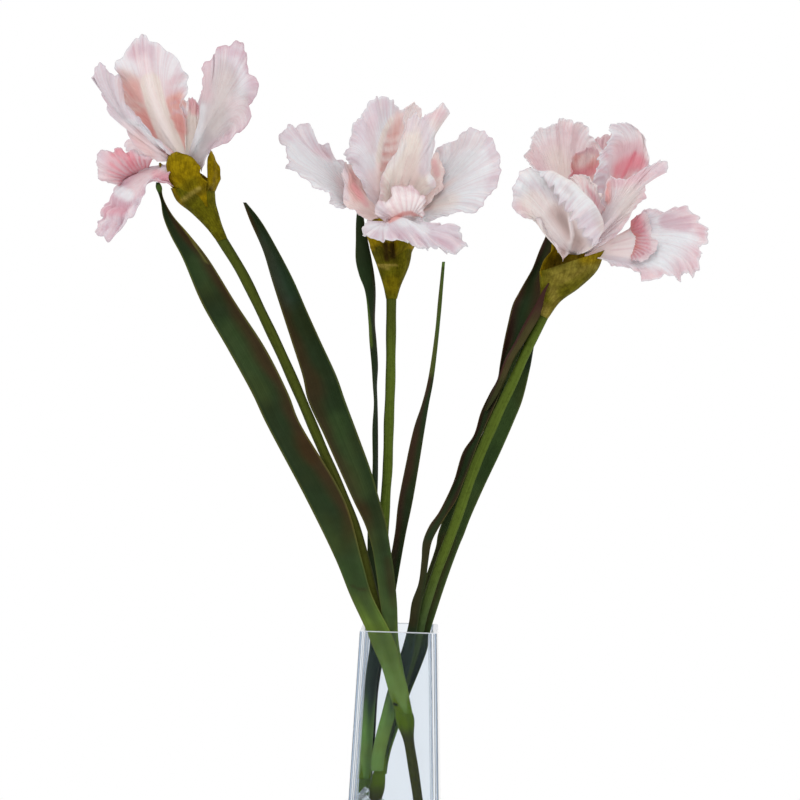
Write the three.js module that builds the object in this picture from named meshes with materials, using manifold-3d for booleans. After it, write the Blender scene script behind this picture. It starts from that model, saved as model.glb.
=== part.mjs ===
// Three cut irises with long leaves, standing in clear crystals in a tall glass vase.
// Millimetres, +Z up, the front of the arrangement facing -Y, the vase's underside centred on the origin.

import * as THREE from "three";
import { mergeVertices } from "three/addons/utils/BufferGeometryUtils.js";
import Module from "manifold-3d";

const wasm = await Module();
wasm.setup();

// Vase: a square glass beaker, wider at the foot than at the mouth.
const VASE_HEIGHT = 250;
const MOUTH_HALF = 30.5;
const TAPER = 0.0391;
const WALL = 4;
const FLOOR = 10;
const EDGE = 0.9;
const CORNER = 3;
const CORNER_STEPS = 3;
const VASE_TURN = -0.035;

// Play left between pieces that touch.
const GAP = 0.3;

// Stems and leaves.
const STEM_RADIUS = 4;
const STEM_SIDES = 8;
const STEM_RINGS = 26;
const LEAF_THICKNESS = 1;
const LEAF_ROWS = 23;
const LEAF_COLUMNS = 4;
const EDGE_ROWS = 8;
const EDGE_COLUMNS = 2;

// Petals.
const PETAL_THICKNESS = 1.1;
// How much deeper a bloom is, front to back, than its points say.
const FULLNESS = 1.2;
const PETAL_ROWS = 6;
const PETAL_COLUMNS = 10;
const CREST_ROWS = 2;
const CREST_COLUMNS = 6;
const BRACT_THICKNESS = 1.3;
const BRACT_ROWS = 3;
const BRACT_COLUMNS = 4;
const CUP_SIDES = 12;

// Crystals.
const CRYSTAL_SIZE = 15;
const TOP_CRYSTALS = 4;
const SIDE_CRYSTALS = 12;
const FILL_LEFT = 122;
const FILL_RIGHT = 88;

// The front drawing: flowers and leaves are laid out by column and row as seen from the front, with
// the depth behind the plane through the vase's axis in mm. The drawing leans a little against the
// vase and is in perspective, so that pieces further back are drawn smaller than they are.
const STEP = 0.8;
const AXIS_COLUMN = 399.5;
const RIM_ROW = 627;
const LEAN = 0.0262;
const EYE_X = -4.35;
const EYE_Z = 507;
const EYE_DISTANCE = 2000;

function seen(column, row, depth) {
  const across = (column - AXIS_COLUMN) * STEP;
  const down = (row - RIM_ROW) * STEP;
  const x = across * Math.cos(LEAN) + down * Math.sin(LEAN);
  const z = VASE_HEIGHT + across * Math.sin(LEAN) - down * Math.cos(LEAN);
  const spread = 1 + depth / EYE_DISTANCE;
  return new THREE.Vector3(EYE_X + (x - EYE_X) * spread, depth, EYE_Z + (z - EYE_Z) * spread);
}

function smooth(points) {
  return new THREE.CatmullRomCurve3(points, false, "centripetal");
}

// Solids.

function toManifold(geometry) {
  const plain = geometry.clone();
  plain.deleteAttribute("normal");
  plain.deleteAttribute("uv");
  const merged = mergeVertices(plain, 1e-5);
  const mesh = new wasm.Mesh({
    numProp: 3,
    vertProperties: Float32Array.from(merged.attributes.position.array),
    triVerts: Uint32Array.from(merged.index.array),
  });
  return new wasm.Manifold(mesh);
}

function toGeometry(solid) {
  const mesh = solid.getMesh();
  const geometry = new THREE.BufferGeometry();
  geometry.setAttribute("position", new THREE.BufferAttribute(mesh.vertProperties, 3));
  geometry.setIndex(new THREE.BufferAttribute(mesh.triVerts, 1));
  return geometry;
}

function largestBody(solid) {
  const bodies = solid.decompose();
  return bodies.reduce((best, body) => (body.volume() > best.volume() ? body : best));
}

function geometryOf(points, triangles) {
  const geometry = new THREE.BufferGeometry();
  const flat = points.flatMap((point) => [point.x, point.y, point.z]);
  geometry.setAttribute("position", new THREE.Float32BufferAttribute(flat, 3));
  geometry.setIndex(triangles);
  return geometry;
}

// A closed skin over rings of equal count, each ring running counterclockwise seen from the last ring.
function skin(rings) {
  const sides = rings[0].length;
  const points = rings.flat();
  const triangles = [];
  for (let i = 0; i < rings.length - 1; i += 1) {
    for (let j = 0; j < sides; j += 1) {
      const a = i * sides + j;
      const b = i * sides + ((j + 1) % sides);
      triangles.push(a, b, b + sides, a, b + sides, a + sides);
    }
  }
  const last = (rings.length - 1) * sides;
  for (let j = 1; j < sides - 1; j += 1) {
    triangles.push(0, j + 1, j);
    triangles.push(last, last + j, last + j + 1);
  }
  return geometryOf(points, triangles);
}

// A sheet of the given thickness on a surface (u, v), with the same triangles on both faces, grown
// on all sides if asked.
function sheet(surface, rows, columns, thickness, grow = 0) {
  const front = [];
  const back = [];
  const small = 0.002;
  for (let i = 0; i <= rows; i += 1) {
    for (let j = 0; j <= columns; j += 1) {
      const u = i / rows;
      const v = j / columns;
      const point = surface(u, v);
      const alongU = surface(Math.min(u + small, 1), v).sub(surface(Math.max(u - small, 0), v));
      const alongV = surface(u, Math.min(v + small, 1)).sub(surface(u, Math.max(v - small, 0)));
      const normal = alongU.clone().cross(alongV).normalize();
      if (i === 0) point.addScaledVector(alongU.normalize(), -grow);
      if (i === rows) point.addScaledVector(alongU.normalize(), grow);
      if (j === 0) point.addScaledVector(alongV.normalize(), -grow);
      if (j === columns) point.addScaledVector(alongV.normalize(), grow);
      front.push(point.clone().addScaledVector(normal, thickness / 2 + grow));
      back.push(point.clone().addScaledVector(normal, -thickness / 2 - grow));
    }
  }
  const width = columns + 1;
  const offset = front.length;
  const triangles = [];
  for (let i = 0; i < rows; i += 1) {
    for (let j = 0; j < columns; j += 1) {
      const a = i * width + j;
      const b = a + 1;
      const c = a + width;
      const d = c + 1;
      triangles.push(a, c, d, a, d, b);
      triangles.push(offset + a, offset + d, offset + c, offset + a, offset + b, offset + d);
    }
  }
  const rim = (a, b) => triangles.push(a, b, offset + b, a, offset + b, offset + a);
  for (let j = 0; j < columns; j += 1) {
    rim(j, j + 1);
    rim(rows * width + j + 1, rows * width + j);
  }
  for (let i = 0; i < rows; i += 1) {
    rim((i + 1) * width, i * width);
    rim(i * width + columns, (i + 1) * width + columns);
  }
  return geometryOf([...front, ...back], triangles);
}

// A round rod along a curve, with a radius for each place on it, grown on all sides if asked.
function rod(curve, radiusAt, rings, sides, grow = 0) {
  const frames = curve.computeFrenetFrames(rings, false);
  const skinRings = [];
  for (let i = 0; i <= rings; i += 1) {
    const centre = curve.getPointAt(i / rings);
    const radius = radiusAt(i / rings) + grow;
    if (i === 0) centre.addScaledVector(frames.tangents[i], -grow);
    if (i === rings) centre.addScaledVector(frames.tangents[i], grow);
    const ring = [];
    for (let j = 0; j < sides; j += 1) {
      const turn = (2 * Math.PI * j) / sides;
      const point = centre.clone();
      point.addScaledVector(frames.normals[i], radius * Math.cos(turn));
      point.addScaledVector(frames.binormals[i], radius * Math.sin(turn));
      ring.push(point);
    }
    skinRings.push(ring);
  }
  return skin(skinRings);
}

// Vase and crystals.

function squareRing(half, z) {
  const ring = [];
  for (let corner = 0; corner < 4; corner += 1) {
    for (let step = 0; step <= CORNER_STEPS; step += 1) {
      const angle = VASE_TURN + (Math.PI / 2) * (corner + step / CORNER_STEPS);
      const centre = VASE_TURN + (Math.PI / 2) * (corner + 0.5);
      const reach = (half - CORNER) * Math.SQRT2;
      const x = reach * Math.cos(centre) + CORNER * Math.cos(angle);
      const y = reach * Math.sin(centre) + CORNER * Math.sin(angle);
      ring.push(new THREE.Vector3(x, y, z));
    }
  }
  return ring;
}

function outerHalf(z) {
  return MOUTH_HALF + TAPER * (VASE_HEIGHT - z);
}

function innerHalf(z) {
  return outerHalf(z) - WALL;
}

function vase() {
  const top = VASE_HEIGHT;
  return skin([
    squareRing(outerHalf(0) - EDGE, 0),
    squareRing(outerHalf(EDGE), EDGE),
    squareRing(outerHalf(top - EDGE), top - EDGE),
    squareRing(outerHalf(top) - EDGE, top),
    squareRing(innerHalf(top) + EDGE, top),
    squareRing(innerHalf(top - EDGE), top - EDGE),
    squareRing(innerHalf(FLOOR + EDGE), FLOOR + EDGE),
    squareRing(innerHalf(FLOOR) - EDGE, FLOOR),
  ]);
}

function randomFrom(seed) {
  let state = seed;
  return () => {
    state = (state * 48271) % 2147483647;
    return state / 2147483647;
  };
}

function crystal(centre, size, random) {
  const geometry = new THREE.OctahedronGeometry(size / 2, 0);
  const turn = new THREE.Euler(random() * 6.28, random() * 6.28, random() * 6.28);
  const stretch = new THREE.Vector3(1 + 0.5 * random(), 0.8 + 0.3 * random(), 0.9 + 0.4 * random());
  const turned = new THREE.Quaternion().setFromEuler(turn);
  return toManifold(geometry.applyMatrix4(new THREE.Matrix4().compose(centre, turned, stretch)));
}

function fillTop(x) {
  const share = THREE.MathUtils.clamp((x + 30) / 60, 0, 1);
  return THREE.MathUtils.lerp(FILL_LEFT, FILL_RIGHT, share);
}

// A bed with crystals standing out of its sloping top and of its sides, cut to the inside of the vase.
function crystalFiller(holes) {
  const random = randomFrom(7);
  const floor = FLOOR + GAP;
  const bed = [
    squareRing(innerHalf(floor) - 3, floor),
    squareRing(innerHalf(FILL_RIGHT) - 3, FILL_RIGHT - 8),
  ];
  bed[1].forEach((point) => {
    point.z = fillTop(point.x) - 10;
  });
  let mass = toManifold(skin(bed));
  for (let i = 0; i < TOP_CRYSTALS; i += 1) {
    for (let j = 0; j < TOP_CRYSTALS; j += 1) {
      const x = ((i + 0.5) / TOP_CRYSTALS - 0.5) * 64 + 5 * (random() - 0.5);
      const y = ((j + 0.5) / TOP_CRYSTALS - 0.5) * 64 + 5 * (random() - 0.5);
      const centre = new THREE.Vector3(x, y, fillTop(x) - 9 - 4 * random());
      mass = mass.add(crystal(centre, CRYSTAL_SIZE * (1.4 + 0.4 * random()), random));
    }
  }
  for (let i = 0; i < SIDE_CRYSTALS; i += 1) {
    const angle = VASE_TURN + ((i % 4) * Math.PI) / 2;
    const z = 22 + (56 * i) / SIDE_CRYSTALS + 6 * random();
    const along = (((i * 5) % 7) - 3) * 8 + 6 * (random() - 0.5);
    const reach = innerHalf(z) - 6;
    const x = reach * Math.cos(angle) - along * Math.sin(angle);
    const y = reach * Math.sin(angle) + along * Math.cos(angle);
    mass = mass.add(crystal(new THREE.Vector3(x, y, z), CRYSTAL_SIZE * (1.2 + 0.4 * random()), random));
  }
  const roomTop = FILL_LEFT + 20;
  const room = skin([
    squareRing(innerHalf(floor) - GAP, floor),
    squareRing(innerHalf(roomTop) - GAP, roomTop),
  ]);
  mass = mass.intersect(toManifold(room));
  holes.forEach((hole) => {
    mass = mass.subtract(hole);
  });
  return largestBody(mass);
}

// Stems.

const STEM_LEFT = [
  [216, 229, -34], [225.5, 244, -34], [242.5, 272, -32], [265, 318, -29], [286.5, 364, -26],
  [322, 447, -20], [356, 529, -14], [371, 585, -11], [386, 640, -10], [397, 690, -10], [404.4, 717, -10],
  [408, 736, -10], [418, 800, -9], [426, 870, -8], [429.5, 928.5, -7],
];

const STEM_MIDDLE = [
  [391.5, 286, 35], [391, 340, 34], [390.5, 380, 32], [389, 420, 30], [387.5, 470, 27],
  [386, 490, 26], [382, 560, 21], [376, 640, 18], [370, 690, 17.5], [367, 738, 17.5],
  [365, 782, 17.5], [363.5, 850, 17], [362, 920.5, 16],
];

const STEM_RIGHT = [
  [549, 303, -6], [542, 318, -6], [527, 348, -6], [513.5, 379, -5], [498.5, 411, -4], [484.5, 443, -3],
  [473.5, 470, -2], [461.7, 504, -1], [451.7, 532, 0], [441, 560, 1], [431, 588, 2],
  [422.5, 616, 3], [413, 655, 3], [398, 702, 3], [386, 741, 3], [379, 776, 3],
  [373, 815, 2], [368, 870, 1], [365, 925, 0],
];

// Each stem swells to a joint where its leaves part from it.
const STEMS = {
  left: { path: STEM_LEFT, joint: 717, swell: 3.2 },
  middle: { path: STEM_MIDDLE, joint: 796, swell: 1.2 },
  right: { path: STEM_RIGHT, joint: 790, swell: 2.4 },
};

function stemCurve(name) {
  return smooth(STEMS[name].path.map((point) => seen(...point)));
}

function stem(name, grow = 0) {
  const { path, joint, swell } = STEMS[name];
  const curve = stemCurve(name);
  const jointZ = seen(400, joint, 0).z;
  const radiusAt = (t) => {
    const away = (curve.getPointAt(t).z - jointZ) / 11;
    return STEM_RADIUS + swell * Math.exp(-away * away);
  };
  return rod(curve, radiusAt, STEM_RINGS, STEM_SIDES, grow);
}

// Leaves.

// One row of a leaf: row, left column, right column, and the depths of left edge, middle and right edge.
const LEAVES = {
  left_1: [
    [182, 157, 160.5, -40, -40, -40], [187, 156.8, 162.8, -41, -40, -41], [193, 159.3, 163, -42, -40, -42],
    [201, 161.8, 165.5, -43, -40, -43], [215, 163.8, 173.5, -44, -40, -44],
    [233, 170.5, 189, -45, -40, -44],
    [257, 183, 208, -45, -39, -44], [302, 202, 236, -44, -37, -42], [348, 228, 266, -41, -35, -38],
    [394, 253, 289, -37, -32, -34], [420, 265, 299, -35, -30, -32], [500, 307, 345, -28, -25, -26],
    [560, 336, 362, -23, -22, -22], [595, 350, 372, -21, -19, -20.5], [629, 365.6, 389, -19, -18.5, -19.5],
    [645, 372, 396, -19, -18, -18.8], [668, 382, 401, -16, -17.5, -17.5],
    [685, 387, 407, -12, -16.6, -15.5], [699, 391, 409.5, -10.5, -17, -13],
    [708, 394, 411.5, -10, -18, -12], [714, 396.5, 412.5, -10, -18.6, -12],
  ],
  left_2: [
    [202, 243.7, 246.7, -10, -10, -10], [220, 250.5, 261, -12, -9, -13], [250, 263.5, 278.5, -14, -10, -15],
    [280, 272.5, 294, -16, -11, -17], [310, 282, 307, -18, -12, -19], [341, 292, 321, -20, -13, -20],
    [376, 303, 337, -20, -14, -20], [399, 308, 345, -20, -14, -20], [434, 324, 358, -20, -15, -20],
    [470, 340, 371, -20, -15, -19], [501, 354, 380, -19.5, -16, -18], [524, 365, 386.5, -19, -16, -17.5],
    [545, 371.5, 390, -18.5, -16.5, -17], [571, 376, 394, -18, -16.8, -16.5],
    [602, 380, 397, -17.5, -16.6, -15.5],
    [640, 386, 398.5, -17, -16.4, -13], [670, 393, 403.5, -16.4, -15.5, -9], [692, 400, 408, -16, -13, -6],
    [703, 402.5, 410.5, -16, -12, -6],
  ],
  middle_1: [
    [196, 359.5, 362.5, 46, 45, 46], [218, 356.5, 364, 45, 44, 46], [240, 356, 368, 44, 43, 45],
    [260, 356, 372, 43, 41, 44], [275, 359.5, 374.5, 41, 40, 43], [290, 365, 375.7, 38, 39, 43],
    [322, 368.6, 375, 34, 37, 42], [340, 369.5, 376.5, 34, 36, 40], [365, 371.7, 378, 33, 35, 39],
    [385, 373, 377, 30, 34, 37], [402, 374, 377.5, 29, 32, 36], [427, 372.5, 378, 27, 30, 33],
    [470, 372.5, 378, 23, 26, 30], [520, 368, 377, 16, 19, 21], [560, 367.5, 379, 13, 14.5, 16],
    [600, 368, 381, 12, 12, 14], [640, 370, 382, 13, 11.6, 13], [682, 365, 377, 16, 11.2, 14],
    [721, 362.4, 374, 17, 11.2, 15], [759, 360, 371.5, 17, 11.2, 16], [780, 358.8, 370.5, 17, 11, 17],
  ],
  middle_2: [
    [261, 442, 445, 18, 18, 18], [280, 440, 443.5, 18, 18.5, 19], [300, 438, 442, 18, 19, 19],
    [332, 435, 439, 18, 19, 20], [379, 428, 433.5, 17, 20, 21], [403, 422, 429, 17, 20, 21],
    [427, 414, 425, 18, 20, 21], [470, 404.5, 418, 19, 21, 20], [504, 398, 412, 20, 22, 20],
    [532, 395, 406, 21, 23, 21], [565, 389, 400, 23, 24.5, 22], [600, 382, 394, 24, 25, 22.5],
    [625, 377.5, 389, 24.2, 24.6, 22], [645, 373, 385, 24, 24.3, 20], [668, 369, 381.5, 23.6, 24.2, 18],
    [692, 366, 378, 23.6, 24.2, 17], [712, 365, 376.5, 23.6, 24.2, 17], [738, 363.6, 375, 23.6, 24.2, 18],
    [766, 361.6, 373, 23.6, 24.2, 19], [779, 361, 372, 23.6, 24.2, 19],
  ],
  right_1: [
    [222, 549, 552, 16, 16, 16], [231, 547, 555, 15, 16, 15], [250, 539, 552, 12, 14, 12],
    [268, 532, 545, 9, 12, 8], [284, 523, 541, 6, 9, 5], [293, 518, 541, 5, 8, 3],
    [303, 512.8, 537.5, 4, 6, 0],
    [322, 508, 533, 3, 6, -12], [343, 503.5, 522, 3, 6, -11.8], [363, 500, 511, 3, 4, -10],
    [378, 497.5, 505.5, 2, 3, -6], [392, 490, 500, 2, 4, -1], [411, 481, 492, 2, 5, 0],
    [434, 474, 481.5, 3, 5, 1], [451, 463, 475, 3, 6, 2], [480, 454, 464, 4, 7, 3],
    [500, 445, 456, 4, 6, 3], [513, 438, 447.5, 0, 2, 0], [525, 429.5, 440, -4, -2, -3],
    [541, 423, 432, -6, -5, -5], [560, 421.5, 428.5, -7, -6, -5], [583, 418.5, 425.5, -7, -6, -4],
    [602, 411.8, 421.5, -6, -5, -3.5], [623, 408.8, 418, -4.8, -4, -3.2], [651, 401.5, 414, -2, -4, -4],
    [688, 388.5, 405, 0, -3.2, -4], [717, 381, 395, 1, -3.6, -3], [738, 375.5, 389, 2, -3.6, -2],
    [759, 371.5, 384.5, 3, -3.6, -2], [772, 371, 383, 3, -3.6, -2],
  ],
  right_2: [
    [318, 541, 543.5, 3, 3, 3], [338, 524.5, 535.5, 3, 5, 2], [367, 509, 530, 4, 7, 3],
    [400, 497, 522, 5, 8, 4], [420, 488, 514, 5, 9, 5], [450, 475, 501, 6, 9, 6],
    [484, 461, 485, 7, 10, 7], [518, 443.5, 470, 7, 10, 7], [534, 438, 464, 7, 10, 7],
    [546, 436, 459, 7, 10, 8], [579, 425, 447, 8, 10, 8], [612, 415, 436.2, 8.6, 10.4, 8],
    [631, 411, 430.4, 9, 10, 7], [648, 407, 427.6, 9.3, 9.8, 5], [664, 404, 422, 9.3, 9.8, 3],
    [694, 393.5, 410, 9, 9.8, 2], [728, 383, 398.5, 9, 9.8, 2], [749, 377.5, 391.5, 9, 9.8, 3],
    [764, 374.5, 388, 9, 9.8, 4], [775, 373.5, 386.5, 9, 9.8, 4],
  ],
};

// The turned-up edge of a leaf, drawn in the same way.
const LEAF_EDGES = {
  right_1: [
    [282.5, 547.5, 549, -18, -18, -18], [291, 541.8, 545.5, -18, -18, -18], [304, 535, 541, -16, -17, -17],
    [316, 528, 537, -13, -15, -16], [329, 521, 530, -9, -13, -14.5], [343, 514, 522.5, -6, -11, -13],
    [358, 505.5, 513.5, -3.5, -8, -11], [376, 498.5, 505.5, -1.5, -2.5, -7],
    [394, 490.5, 497.5, 0, 0.5, -2], [410, 484, 487, 1.5, 2, 1],
  ],
};

function leafSurface(rows) {
  const left = smooth(rows.map(([row, a, , depth]) => seen(a, row, depth)));
  const middle = smooth(rows.map(([row, a, b, , depth]) => seen((a + b) / 2, row, depth)));
  const right = smooth(rows.map(([row, , b, , , depth]) => seen(b, row, depth)));
  return (u, v) => {
    const a = left.getPoint(u);
    const m = middle.getPoint(u);
    const b = right.getPoint(u);
    const point = a.multiplyScalar((1 - v) * (1 - 2 * v));
    point.addScaledVector(m, 4 * v * (1 - v));
    return point.addScaledVector(b, v * (2 * v - 1));
  };
}

function leaf(name, grow = 0) {
  const blade = sheet(leafSurface(LEAVES[name]), LEAF_ROWS, LEAF_COLUMNS, LEAF_THICKNESS, grow);
  if (!LEAF_EDGES[name]) return toManifold(blade);
  const edge = sheet(leafSurface(LEAF_EDGES[name]), EDGE_ROWS, EDGE_COLUMNS, LEAF_THICKNESS, grow);
  return toManifold(blade).add(toManifold(edge));
}

// Blooms.

// A petal: claw, width of the claw, middle line halfway up, margin from its left to its right, ruffle
// height and number of ruffles, and how far the claw sinks into the heart, if that isn't half or so.
// Points are column, row and depth from the bloom's own depth.
const BLOOM_LEFT = {
  depth: -34,
  core: [[200, 196, 0], [192, 174, 0], [186, 158, 0]],
  petals: [
    {
      claw: [183, 160, 3], width: 5, ruffle: 2.6, waves: 5,
      middle: [[172, 152, 4], [150, 120, 8], [152, 100, 7], [172, 104, 6], [186, 138, 4]],
      margin: [
        [164, 154, 8], [144, 134, 12], [128, 110, 15], [119, 88, 17], [121, 73, 17], [119, 65, 17],
        [131, 45, 15], [143, 36, 14], [152, 41, 13], [173, 54, 9], [187, 73, 4], [187, 90, 2],
        [188, 104, 2], [190, 132, 4],
      ],
    },
    {
      claw: [180, 162, -2], width: 5, ruffle: 2, waves: 6,
      middle: [[168, 161, -8], [144, 140, -13], [127, 117, -10], [144, 127, -16], [172, 155, -12]],
      margin: [
        [158, 162, -8], [144, 154, -10], [131, 136, -8], [124, 121, -4], [112, 116, 0], [108, 100, 4],
        [102, 86, 7], [92, 79, 9], [97, 72, 10], [104, 65, 10], [111, 71, 9], [119, 77, 7],
        [121, 90, 3], [127, 104, -1], [133, 117, -5], [145, 125, -9], [152, 138, -12], [160, 146, -13],
        [168, 153, -12],
      ],
    },
    {
      claw: [194, 158, -5], width: 5, ruffle: 2, waves: 6,
      middle: [[200, 122, -8], [208, 102, -20], [222, 98, -26], [234, 108, -24], [199, 164, -5]],
      margin: [
        [198, 126, -4], [203, 106, -7], [208, 90, -9], [202, 79, -11], [205, 66, -13], [218, 59, -14],
        [216, 51, -14], [227, 45, -14], [240, 45, -15], [248, 54, -16], [251, 72, -18], [258, 88, -20],
        [253, 106, -23], [250, 121, -23], [238, 134, -20], [222, 145, -14], [208, 153, -9],
        [202, 172, -5],
      ],
    },
    {
      claw: [180, 166, -4], width: 5, ruffle: 2.4, waves: 6,
      middle: [[156, 166, 4], [138, 176, 4], [136, 184, -4], [144, 184, -12], [170, 174, -12]],
      margin: [
        [148, 168, 6], [138, 170, 12], [127, 179, 18], [119, 191, 21], [114, 199, 21], [107, 206, 20],
        [103, 214, 17], [98, 218, 14], [98, 229, 8], [107, 239, -2], [121, 229, -9], [134, 215, -14],
        [144, 194, -18], [154, 181, -18], [166, 179, -14], [175, 187, -8],
      ],
    },
    {
      claw: [184, 160, 8], width: 5, ruffle: 2.8, waves: 6,
      middle: [[150, 158, 22], [142, 146, 34], [148, 134, 42], [160, 128, 44], [176, 140, 30]],
      margin: [
        [160, 160, 16], [140, 160, 34], [130, 150, 52], [132, 134, 66], [142, 118, 74], [156, 108, 74],
        [168, 112, 64], [178, 126, 48], [182, 142, 26],
      ],
    },
    {
      claw: [192, 160, 7], width: 5, ruffle: 2.8, waves: 6,
      middle: [[192, 140, 26], [202, 122, 36], [212, 112, 38], [222, 116, 34], [216, 140, 20]],
      margin: [
        [192, 146, 18], [194, 120, 40], [202, 96, 54], [214, 80, 60], [230, 76, 58], [240, 88, 50],
        [240, 106, 38], [232, 126, 26], [214, 146, 14],
      ],
    },
  ],
  crests: [
    {
      claw: [137, 175, 14], width: 25, ruffle: 1.6, waves: 5, sink: 0,
      middle: [[121, 185, 12], [114, 173, 6], [124, 163, 2], [137, 160, -4], [152, 162, -5]],
      margin: [
        [119, 187, 14], [104, 180, 13], [98, 171, 12], [98, 162, 10], [104, 150, 8], [114, 151, 4],
        [121, 148, 2], [130, 152, -1], [138, 150, -4], [144, 156, -6], [155, 157, -7],
      ],
    },
    {
      claw: [190, 160, 2], width: 4, ruffle: 1.6, waves: 4,
      middle: [[187, 142, 0], [187, 130, 1], [191, 124, 2], [196, 128, 2], [200, 142, 1]],
      margin: [
        [187, 120, 0], [183, 112, 0], [181, 104, 0], [184, 99, 0], [188, 102, 1], [191, 98, 2],
        [196, 100, 3],
        [200, 106, 3], [199, 116, 2],
      ],
    },
    {
      claw: [186, 160, 5], width: 4, ruffle: 1.2, waves: 3,
      middle: [[172, 148, 14], [166, 138, 20], [170, 130, 24], [176, 134, 22], [184, 144, 14]],
      margin: [
        [166, 140, 20], [158, 130, 28], [160, 118, 34], [168, 112, 36], [176, 118, 34], [180, 132, 26],
      ],
    },
  ],
};

const BLOOM_MIDDLE = {
  depth: 35,
  core: [[391, 262, 0], [392, 238, 0], [393, 216, 0]],
  petals: [
    {
      claw: [387, 214, -3], width: 5, ruffle: 2.4, waves: 7,
      middle: [[380, 209, -8], [366, 162, -24], [380, 152, -12], [392, 154, 6], [394, 196, 6]],
      margin: [
        [374, 206, -12], [359, 179, -22], [349, 163, -24], [347, 150, -23], [352, 130, -20],
        [362, 115, -16],
        [371, 101, -10], [383, 97, -2], [395, 104, 8], [402, 113, 16], [408, 140, 20], [399, 186, 10],
      ],
    },
    {
      claw: [394, 216, -10], width: 6, ruffle: 1.6, waves: 6,
      middle: [[385, 209, -14], [398, 166, -28], [412, 156, -30], [422, 166, -28], [418, 200, -20]],
      margin: [
        [377, 208, -12], [379, 194, -17], [384, 176, -21], [391, 159, -24], [401, 143, -25],
        [408, 131, -24],
        [410, 117, -20], [417, 112, -18], [421, 120, -20], [427, 116, -19], [434, 109, -16],
        [441, 105, -13],
        [449, 114, -10], [438, 120, -15], [433, 134, -20], [434, 154, -24], [431, 172, -26],
        [434, 185, -24],
        [424, 196, -18],
      ],
    },
    {
      claw: [394, 214, 6], width: 5, ruffle: 0.8, waves: 4,
      middle: [[384, 186, 20], [388, 160, 30], [400, 150, 34], [414, 156, 32], [420, 184, 22]],
      margin: [
        [382, 192, 16], [376, 156, 28], [386, 126, 32], [401, 111, 28], [414, 103, 24], [421, 112, 24],
        [427, 132, 28], [430, 160, 26], [422, 192, 16],
      ],
    },
    {
      claw: [386, 217, -4], width: 6, ruffle: 2.8, waves: 7,
      middle: [[379, 217, -8], [342, 196, -20], [334, 182, -10], [340, 172, 0], [374, 202, 2]],
      margin: [
        [374, 219, -12], [356, 210, -22], [338, 207, -27], [329, 196, -29], [318, 190, -30],
        [306, 175, -30],
        [286, 170, -27], [290, 155, -20], [280, 137, -10], [292, 125, 0], [309, 126, 6], [311, 140, 7],
        [326, 146, 8], [329, 154, 8], [345, 164, 10], [366, 190, 4],
      ],
    },
    {
      claw: [404, 218, 0], width: 6, ruffle: 2.4, waves: 7,
      middle: [
        [430, 176, 16], [444, 168, 12], [456, 176, 2], [456, 194, -10], [438, 210, -14], [416, 219, -12],
      ],
      margin: [
        [430, 170, 14], [437, 149, 20], [452, 141, 20], [464, 132, 18], [478, 129, 15], [488, 135, 10],
        [496, 148, 4], [500, 163, -4], [498, 183, -12], [489, 194, -17], [480, 208, -20], [466, 213, -22],
        [450, 213, -21], [437, 218, -18], [426, 223, -14],
      ],
    },
    {
      claw: [403, 213, -14], width: 20, ruffle: 2.8, waves: 8, sink: 0.9,
      middle: [[380, 221, -30], [386, 225, -42], [404, 220, -48], [424, 226, -44], [414, 217, -22]],
      margin: [
        [370, 222, -26], [362, 233, -38], [373, 238, -50], [388, 241, -60], [405, 240, -66],
        [422, 250, -70],
        [432, 246, -66], [447, 252, -64], [465, 247, -54], [460, 231, -44], [444, 225, -36],
        [434, 226, -32],
        [422, 219, -24],
      ],
    },
  ],
  crests: [
    {
      claw: [404, 217, -29], width: 24, ruffle: 1.6, waves: 6, sink: 0,
      middle: [[387, 220, -31], [384, 212, -35], [402, 202, -35], [418, 205, -35], [421, 217, -32]],
      margin: [
        [386, 221, -32], [378, 216, -34], [374, 210, -34], [378, 203, -33], [388, 199, -32],
        [393, 188, -31],
        [401, 185, -31], [412, 187, -31], [422, 194, -32], [425, 202, -33], [423, 211, -33],
        [422, 218, -32],
      ],
    },
    {
      claw: [384, 216, -4], width: 6, ruffle: 1.4, waves: 5,
      middle: [[378, 218, -12], [362, 208, -20], [360, 198, -20], [363, 184, -12], [382, 204, -8]],
      margin: [
        [372, 220, -20], [356, 212, -26], [347, 206, -28], [343, 196, -27], [345, 184, -25],
        [343, 172, -20],
        [345, 162, -12], [351, 164, -6], [362, 172, -4], [374, 186, -6], [383, 200, -8],
      ],
    },
    {
      claw: [400, 216, 2], width: 5, ruffle: 1.4, waves: 4,
      middle: [[416, 188, 6], [426, 176, 6], [432, 180, 0], [430, 192, -6], [414, 210, -8]],
      margin: [
        [428, 164, 10], [434, 155, 12], [438, 152, 12], [441, 162, 8], [443, 174, 3], [443, 185, -2],
        [437, 194, -7], [430, 202, -10], [423, 209, -13],
      ],
    },
  ],
};

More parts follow.
